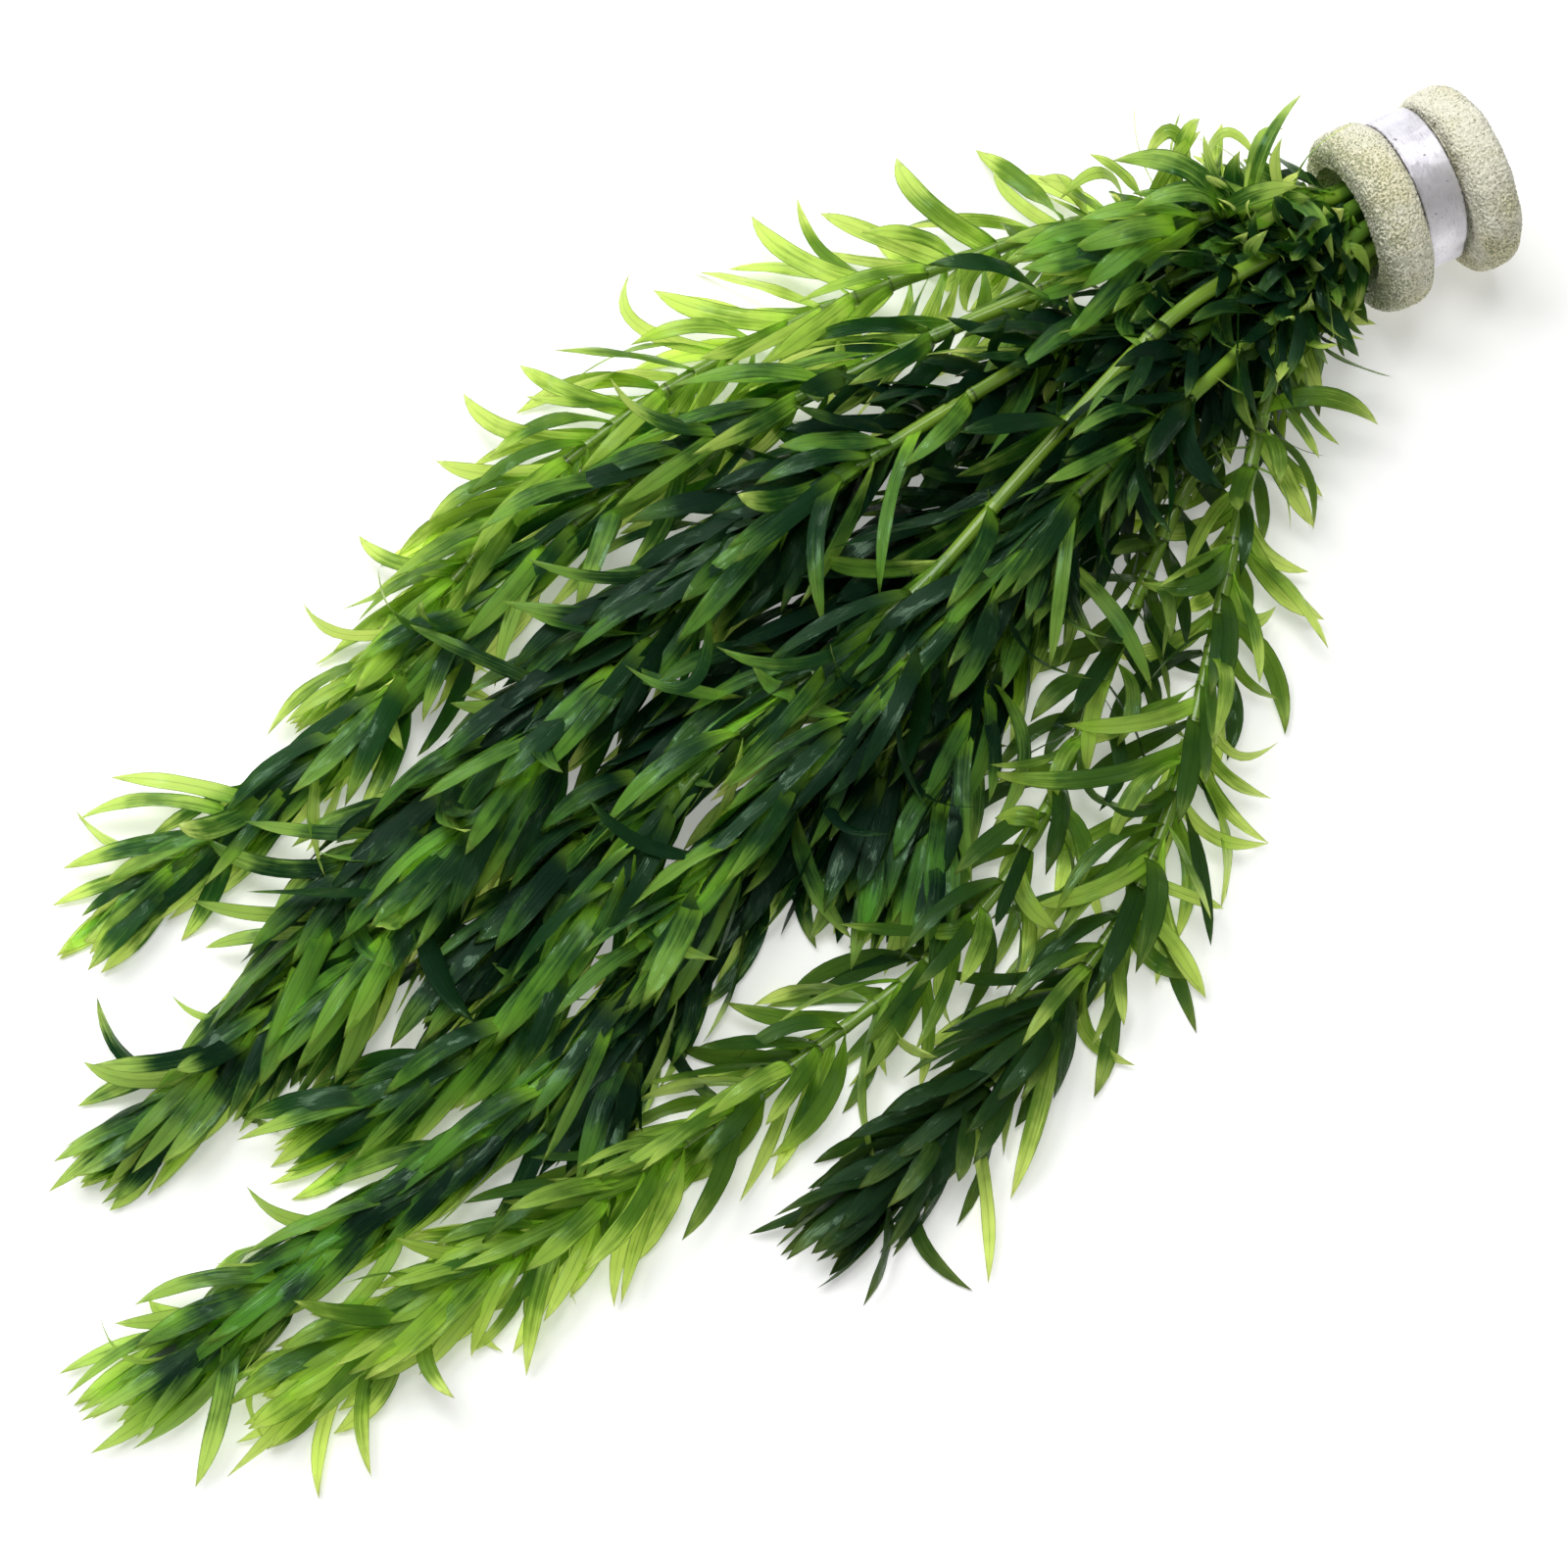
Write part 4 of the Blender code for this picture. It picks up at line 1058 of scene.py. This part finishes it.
def leaf_material(slot):
    """Wet leaf: streaked green face, pale at its base, bright where light comes through, thin dark edges."""
    deep, fresh = LEAF_COLOURS[slot]["face"]
    nodes = Nodes(slot + "_leaf")
    along, across, tint = nodes.marks("growth")
    shade = nodes.add("Attribute", attribute_name="shade").outputs["Fac"]

    def pattern(stretch, scale, detail, roughness=0.5):
        parts = [nodes.times(mark, factor) for mark, factor in zip((across, along, tint), stretch)]
        return nodes.noise(nodes.joined(*parts), scale, detail, roughness)

    streaks = pattern(STREAKS, 1.6, 4.0, 0.55)
    film = nodes.ramp(pattern(FILM, 1.3, 3.0), 0.53, 0.6)
    patches = nodes.noise(nodes.place(), 190.0, 3.0)
    # A low shade mark darkens the face and the light through, partly as the old leaves' own colour and partly
    # as painted shade in the pile
    aged_and_shaded = nodes.ramp(shade, 0.4, 0.0)
    edge = nodes.ramp(nodes.math("ABSOLUTE", across), 0.88, 0.97)
    rib = nodes.ramp(nodes.math("ABSOLUTE", across), 0.14, 0.0)
    tip = nodes.ramp(along, 0.45, 1.0)
    base = nodes.times(nodes.ramp(along, 0.3, 0.0), nodes.line(aged_and_shaded, -0.7, 0.8))
    uneven = nodes.plus(nodes.line(streaks, 1.5, -0.75), nodes.line(patches, 1.6, -0.8))
    paleness = nodes.plus(nodes.line(tint, 0.8, -0.27), nodes.times(tip, 0.85))
    paleness = nodes.plus(paleness, nodes.line(shade, 0.9, -0.45))
    paleness = nodes.ramp(nodes.plus(paleness, uneven), 0.0, 1.0)
    dark = nodes.math("MAXIMUM", nodes.times(edge, 0.45), nodes.times(rib, 0.2))

    face = nodes.mix(base, nodes.mix(paleness, deep, fresh), BASE_COLOUR)
    face = nodes.mix(dark, nodes.mix(nodes.times(aged_and_shaded, 0.8), face, AGED_AND_SHADED_COLOUR), EDGE_COLOUR)
    through = nodes.mix(paleness, *LEAF_COLOURS[slot]["through"])
    through = nodes.mix(nodes.times(aged_and_shaded, 0.7), through, AGED_AND_SHADED_THROUGH)
    through = nodes.mix(dark, through, THROUGH_EDGE_COLOUR)

    bump = nodes.bump(nodes.line(streaks, 0.6, nodes.times(patches, 0.4)), 0.4, 0.0004)
    leaf = nodes.add("BsdfPrincipled", {
        "Base Color": face, "Roughness": nodes.line(film, -0.26, 0.4), "Normal": bump,
        "Specular IOR Level": nodes.line(film, 0.22, 0.15), "Specular Tint": SHEEN_COLOUR,
    })
    glow = nodes.add("BsdfTranslucent", {"Color": through, "Normal": bump})
    both = nodes.add("AddShader", {0: leaf.outputs[0], 1: glow.outputs[0]})
    return nodes.finish(both.outputs[0])


def stem_material(slot):
    """Juicy stem with thin olive rings at the nodes, bright where it is bare; elsewhere a darker green, which
    is painted shade under the leaves.
    """
    bright, green = STEM_COLOURS[slot]
    nodes = Nodes(slot + "_stem")
    internode, swell, bare = nodes.marks("growth")
    patches = nodes.noise(nodes.place(), 260.0, 4.0)
    # Bright where the stem shows bare; elsewhere the darker green is painted shade under the leaves
    shown = nodes.plus(bare, nodes.line(patches, 0.8, -0.4))
    colour = nodes.mix(nodes.ramp(shown, 0.0, 1.0), green, bright)
    colour = nodes.mix(nodes.times(nodes.ramp(internode, 0.45, 1.0), 0.45), colour, green)
    colour = nodes.mix(nodes.times(nodes.ramp(swell, 0.6, 0.98), 0.85), colour, NODE_COLOUR)
    bump = nodes.bump(patches, 0.4, 0.0002)
    stem = nodes.add("BsdfPrincipled", {
        "Base Color": colour, "Roughness": 0.24, "Normal": bump, "Coat Weight": 0.3, "Coat Roughness": 0.1,
    })
    glow = nodes.add("BsdfTranslucent", {"Color": colour, "Normal": bump})
    both = nodes.add("MixShader", {0: 0.25, 1: stem.outputs[0], 2: glow.outputs[0]})
    return nodes.finish(both.outputs[0])


# Sponge of the visual collar: its steps, its pores and lumps, and the colours of its walls and of the
# painted shade in its holes
PROFILE_POINTS = 60
FOAM_STEP = 0.17
BORE_STEP = 1.0
CELL_SIZE = 0.5
PORE_DEPTH = 0.2
LUMPS = ((5.0, 0.28), (1.6, 0.04))
FUZZ = 0.12
FUZZ_SIZE = 0.2
WALL_SHARE = 0.35
SPONGE_COLOURS = ((0.98, 0.96, 0.78, 1), (0.97, 0.91, 0.6, 1))
PORE_SHADE_COLOUR = (0.24, 0.27, 0.12, 1)


def lobe_profile(start, end):
    """Outer profile of one puffy lobe, a full half oval from the waist's radius out and back."""
    middle, half = (start + end) / 2, (end - start) / 2
    angles = np.pi * (1 - np.linspace(0, 1, PROFILE_POINTS))
    along = np.sign(np.cos(angles)) * np.abs(np.cos(angles)) ** LOBE_FULLNESS
    out = np.clip(np.sin(angles), 0, None) ** LOBE_FULLNESS
    return list(zip(middle + half * along, FOAM_WAIST + (FOAM_RADIUS - FOAM_WAIST) * out))


def even_steps(points, step):
    """Points at even steps along a bent line, its two ends included."""
    points = np.array(points, float)
    lengths = lengths_along(points)
    places = np.linspace(0, lengths[-1], max(round(lengths[-1] / step), 1) + 1)
    return np.stack([np.interp(places, lengths, points[:, axis]) for axis in range(2)], axis=1)


def foam_section():
    """Closed section of the sponge as distances along X and from the axis, finely stepped where it shows."""
    near = lobe_profile(PLANT_END, WAIST_START - STRIP_GAP)
    far = lobe_profile(WAIST_END + STRIP_GAP, FAR_END)
    shown = [
        even_steps([(PLANT_END + FOAM_MOUTH_DEPTH, FOAM_BORE), (PLANT_END, FOAM_MOUTH), *near], FOAM_STEP),
        even_steps([near[-1], far[0]], BORE_STEP)[1:],
        even_steps([*far, (FAR_END, FOAM_BORE)], FOAM_STEP)[1:],
        even_steps([(FAR_END, FOAM_BORE), (PLANT_END + FOAM_MOUTH_DEPTH, FOAM_BORE)], BORE_STEP)[1:-1],
    ]
    return np.concatenate(shown)


def sponge(point, roughness):
    """How far the sponge's surface stands out at a point, and how deep in a pore the point is."""
    place = Vector(point)
    out = sum(size * noise.noise(place / length) for length, size in LUMPS)
    distances, _ = noise.voronoi(place / CELL_SIZE)
    wall = min((distances[1] - distances[0]) / WALL_SHARE, 1)
    pore = wall * wall * (3 - 2 * wall)
    out += FUZZ * noise.noise(place / FUZZ_SIZE) - PORE_DEPTH * pore
    return out * roughness, pore


def waist_shift(x, radius):
    """How far the strip has pulled a point of the sponge aside: fully in the waist, not at a lobe's crown."""
    in_waist = PLANT_END + PLANT_LOBE / 2 < x < WAIST_END + FAR_LOBE / 2
    if not in_waist or radius < (FOAM_BORE + FOAM_WAIST) / 2:
        return 0
    return WAIST_SHIFT * min(max((FOAM_RADIUS - radius) / (FOAM_RADIUS - FOAM_WAIST), 0), 1)


def make_collar(material):
    """Roll the sponge, with its pores, round the stems from seam to seam, and press it flat underneath."""
    section = foam_section()
    slope = unit(np.roll(section, -1, axis=0) - np.roll(section, 1, axis=0))
    outward = np.stack([-slope[:, 1], slope[:, 0]], axis=1)
    under_strip = (section[:, 0] > WAIST_START - STRIP_GAP / 2) & (section[:, 0] < WAIST_END + STRIP_GAP / 2)
    inside = section[:, 1] < FOAM_BORE + SAME_PLACE
    rough = np.where(under_strip | inside, 0, 1)
    half_seam = SEAM_WIDTH / 2 / FOAM_RADIUS
    turns = np.linspace(SEAM_ANGLE + half_seam, SEAM_ANGLE + 2 * math.pi - half_seam,
                        int(2 * math.pi * FOAM_RADIUS / FOAM_STEP))
    points, marks = [], []
    for turn in turns:
        sideways, upwards = math.cos(turn), math.sin(turn)
        for (x, radius), (out_x, out_r), roughness in zip(section, outward, rough):
            aside = waist_shift(x, radius)
            point = (x, radius * sideways + aside, AXIS_HEIGHT + radius * upwards)
            lift, pore = sponge(point, roughness) if roughness else (0, 0)
            radius += out_r * lift
            height = max(AXIS_HEIGHT + radius * upwards, 0)
            points.append((x + out_x * lift, radius * sideways + aside, height))
            marks.append((pore, turn, min(max(2 * x / -PLANT_LOBE, 0), 1)))
    faces = tube_faces(len(turns), len(section))
    collar = add_mesh("foam_collar_sponge", points, faces, [material], [0] * len(faces), {"sponge": marks})
    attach(collar, BODY)
    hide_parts("foam_collar")


def foam_material():
    """Pale cream sponge with yellow stains and small holes painted a dark green as shade, most of them near the
    plant.
    """
    nodes = Nodes("foam_sponge")
    pore, _, mouth = nodes.marks("sponge")
    place = nodes.place()
    patches = nodes.noise(place, 140.0, 3.0)
    swirl = nodes.add("TexNoise", {"Vector": place, "Scale": 1500.0}).outputs["Color"]
    swirl = nodes.add("VectorMath", {0: swirl, 3: 0.0005}, operation="SCALE").outputs[0]
    warped = nodes.add("VectorMath", {0: place, 1: swirl}, operation="ADD").outputs[0]
    cells = {"Vector": warped, "Scale": 1900.0, "Randomness": 1.0}
    walls = nodes.add("TexVoronoi", cells, feature="DISTANCE_TO_EDGE").outputs["Distance"]
    fine = nodes.noise(warped, 3200.0, 2.0, 0.6)
    openness = nodes.plus(nodes.line(patches, 0.5, -0.25), nodes.times(mouth, 0.14))
    hole = nodes.plus(nodes.times(walls, 0.6), nodes.plus(fine, openness))
    # Holes between the cell walls, and the pores of the mesh, are painted dark as shade inside the sponge
    pore_shade = nodes.math("MAXIMUM", nodes.ramp(hole, 0.63, 0.73), nodes.times(nodes.ramp(pore, 0.5, 1.0), 0.3))
    colour = nodes.mix(nodes.ramp(patches, 0.4, 0.7), *SPONGE_COLOURS)
    colour = nodes.mix(nodes.times(pore_shade, 0.78), colour, PORE_SHADE_COLOUR)
    foam = nodes.add("BsdfPrincipled", {
        "Base Color": colour, "Roughness": 0.95, "Sheen Weight": 0.3, "Sheen Roughness": 0.6,
        "Specular IOR Level": 0.2, "Normal": nodes.bump(nodes.noise(place, 2600.0), 1.0, 0.0004),
    })
    return nodes.finish(foam.outputs[0])


# Lead strip of the visual model: its steps, how its edges wave and round off, its dents, and its colours
STRIP_STEPS = 260
STRIP_ACROSS = 18
EDGE_WAVE = 0.1
EDGE_WAVES = (4, 3)
EDGE_ROUNDING = 14
DENT_DEPTH = 0.06
DENT_WAVES = (0.5, 7)
LEAD_COLOURS = ((0.8, 0.78, 0.86, 1), (0.95, 0.93, 1.0, 1))
SCRATCH_COLOUR = (0.42, 0.4, 0.48, 1)
SHINE_COLOUR = (0.93, 0.92, 0.97, 1)
DIRT_COLOUR = (0.10, 0.09, 0.12, 1)


def make_strip(material):
    """Bend the strip round the waist, with worn edges, shallow dents and one end lapped over the other."""
    inner = FOAM_WAIST + STRIP_GAP + STRIP_THICKNESS / 2
    lap_start = 2 * math.pi - LAP_CLIMB
    half_width, half_thick = STRIP_WIDTH / 2, STRIP_THICKNESS / 2
    outline = []
    for step in range(STRIP_ACROSS + 1):
        sideways = -1 + 2 * step / STRIP_ACROSS
        outline.append((sideways, 1 - abs(sideways) ** EDGE_ROUNDING))
    outline += [(sideways, -up) for sideways, up in reversed(outline)][1:-1]
    points, marks = [], []
    for step in range(STRIP_STEPS + 1):
        swept = (2 * math.pi + STRIP_LAP) * step / STRIP_STEPS
        climbed = min(max((swept - lap_start) / LAP_CLIMB, 0), 1)
        radius = inner + (STRIP_THICKNESS + LAP_GAP) * climbed * climbed * (3 - 2 * climbed)
        angle = STRIP_START + swept
        outward = Vector((0, math.cos(angle), math.sin(angle)))
        for sideways, up in outline:
            wave = noise.noise(Vector((swept * EDGE_WAVES[0], sideways * EDGE_WAVES[1], 0)))
            edge = wave * EDGE_WAVE * abs(sideways) ** 3
            x = (WAIST_START + WAIST_END) / 2 + half_width * sideways + edge
            dent = noise.noise(Vector((x * DENT_WAVES[0], swept * DENT_WAVES[1], 3))) * DENT_DEPTH
            place = outward * (radius + half_thick * up + min(dent, 0))
            points.append((x, WAIST_SHIFT + place.y, AXIS_HEIGHT + place.z))
            marks.append((swept * inner, x, up))
    faces = tube_faces(STRIP_STEPS + 1, len(outline))
    strip = add_mesh("lead_strip_worn", points, faces, [material], [0] * len(faces), {"strip": marks})
    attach(strip, BODY)
    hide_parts("lead_strip")


def lead_material():
    """Satin, faintly violet metal with fine scratches round it, worn borders and dark spots."""
    nodes = Nodes("lead_worn")
    swept, across, _ = nodes.marks("strip")
    place = nodes.place()
    scratches = nodes.noise(nodes.joined(nodes.times(swept, 0.25), nodes.times(across, 5.0)), 2.2, 5.0, 0.7)
    smudges = nodes.noise(place, 330.0, 4.0)
    spots = nodes.noise(place, 1300.0, 2.0)
    colour = nodes.mix(nodes.ramp(smudges, 0.35, 0.65), *LEAD_COLOURS)
    colour = nodes.mix(nodes.ramp(scratches, 0.42, 0.34), colour, SCRATCH_COLOUR)
    colour = nodes.mix(nodes.ramp(scratches, 0.5, 0.66), colour, SHINE_COLOUR)
    middle = (WAIST_START + WAIST_END) / 2
    border = nodes.math("ABSOLUTE", nodes.math("SUBTRACT", across, middle))
    border = nodes.ramp(border, STRIP_WIDTH * 0.42, STRIP_WIDTH * 0.5)
    worn = nodes.times(border, nodes.ramp(spots, 0.35, 0.55))
    dirt = nodes.math("MAXIMUM", nodes.ramp(spots, 0.68, 0.78), worn)
    lead = nodes.add("BsdfPrincipled", {
        "Base Color": nodes.mix(dirt, colour, DIRT_COLOUR), "Metallic": 1.0,
        "Roughness": nodes.line(scratches, 0.25, 0.24),
        "Normal": nodes.bump(nodes.line(scratches, 1.0, nodes.times(smudges, 1.5)), 0.5, 0.0003),
    })
    return nodes.finish(lead.outputs[0])


# White surface that the bunch lies on
FLOOR_SIZE = 4000
FLOOR_DEPTH = 0.02
FLOOR_COLOURS = ((0.90, 0.90, 0.90, 1), (0.92, 0.92, 0.92, 1))
GLOW_COLOUR = (1, 1, 0.97, 1)
FLOOR_GLOW = 0.3


def floor_material():
    """Smooth white surface that is faintly lit from below, as a light table is."""
    nodes = Nodes("floor_white")
    floor = nodes.add("BsdfPrincipled", {
        "Base Color": nodes.mix(nodes.noise(nodes.place(), 12.0), *FLOOR_COLOURS), "Roughness": 0.35,
        "Specular IOR Level": 0.25, "Emission Color": GLOW_COLOUR, "Emission Strength": FLOOR_GLOW,
    })
    return nodes.finish(floor.outputs[0])


def make_floor():
    half = FLOOR_SIZE / 2
    corners = [(x, y, -FLOOR_DEPTH) for x, y in ((-half, -half), (half, -half), (half, half), (-half, half))]
    floor = add_mesh("floor", corners, [(0, 1, 2, 3)], [floor_material()], [0], {})


def pointing(azimuth, elevation):
    """Direction at an azimuth from +X and an elevation, in radians."""
    return Vector((
        math.cos(azimuth) * math.cos(elevation), math.sin(azimuth) * math.cos(elevation), math.sin(elevation),
    ))


def make_camera():
    data = bpy.data.cameras.new("photo_camera")
    data.lens = CAMERA_LENS
    data.sensor_width = CAMERA_SENSOR
    camera = bpy.data.objects.new("photo_camera", data)
    back = pointing(CAMERA_AZIMUTH, CAMERA_ELEVATION)
    camera.location = (CAMERA_TARGET + back * CAMERA_DISTANCE) * MM
    camera.rotation_euler = (-back).to_track_quat("-Z", "Y").to_euler()
    bpy.context.scene.collection.objects.link(camera)
    bpy.context.scene.camera = camera


# Lights: direction in which each lies from the bunch, as azimuth from +X and elevation, then its distance,
# width and power
LIGHTS = {
    "key": {"azimuth": 110, "elevation": 55, "distance": 0.85, "width": 0.4, "power": 3.6},
    "overhead": {"azimuth": 65, "elevation": 78, "distance": 0.9, "width": 0.34, "power": 2.2},
    "back": {"azimuth": 83, "elevation": 20, "distance": 0.9, "width": 0.4, "power": 1.6},
    "front": {"azimuth": -60, "elevation": 40, "distance": 0.9, "width": 0.6, "power": 0.7},
}
WORLD_LIGHT = 0.22


def make_lights():
    centre = CAMERA_TARGET * MM
    for name, light in LIGHTS.items():
        data = bpy.data.lights.new(name, "AREA")
        data.shape = "SQUARE"
        data.size = light["width"]
        data.energy = light["power"]
        way = pointing(math.radians(light["azimuth"]), math.radians(light["elevation"]))
        lamp = bpy.data.objects.new(name, data)
        lamp.location = centre + way * light["distance"]
        lamp.rotation_euler = way.to_track_quat("Z", "Y").to_euler()
        bpy.context.scene.collection.objects.link(lamp)
    world = bpy.data.worlds.new("studio")
    world.use_nodes = True
    background = world.node_tree.nodes["Background"]
    background.inputs["Color"].default_value = (1, 1, 1, 1)
    background.inputs["Strength"].default_value = WORLD_LIGHT
    bpy.context.scene.world = world
    bpy.context.scene.view_settings.view_transform = "Standard"


make_camera()
make_floor()
make_lights()
layers = [shoot["layer"] for shoot in SHOOTS.values()]
all_stems = [Stem(route) for route in settle([stem_route(shoot) for shoot in SHOOTS.values()], layers)]
shoot_materials = {slot: [leaf_material(slot), stem_material(slot)] for slot in LEAF_COLOURS}
for shoot_number, (shoot_name, shoot_facts) in enumerate(SHOOTS.items()):
    make_shoot(shoot_number, shoot_name, shoot_facts, all_stems, shoot_materials[slot_of(shoot_name)])
make_collar(foam_material())
make_strip(lead_material())
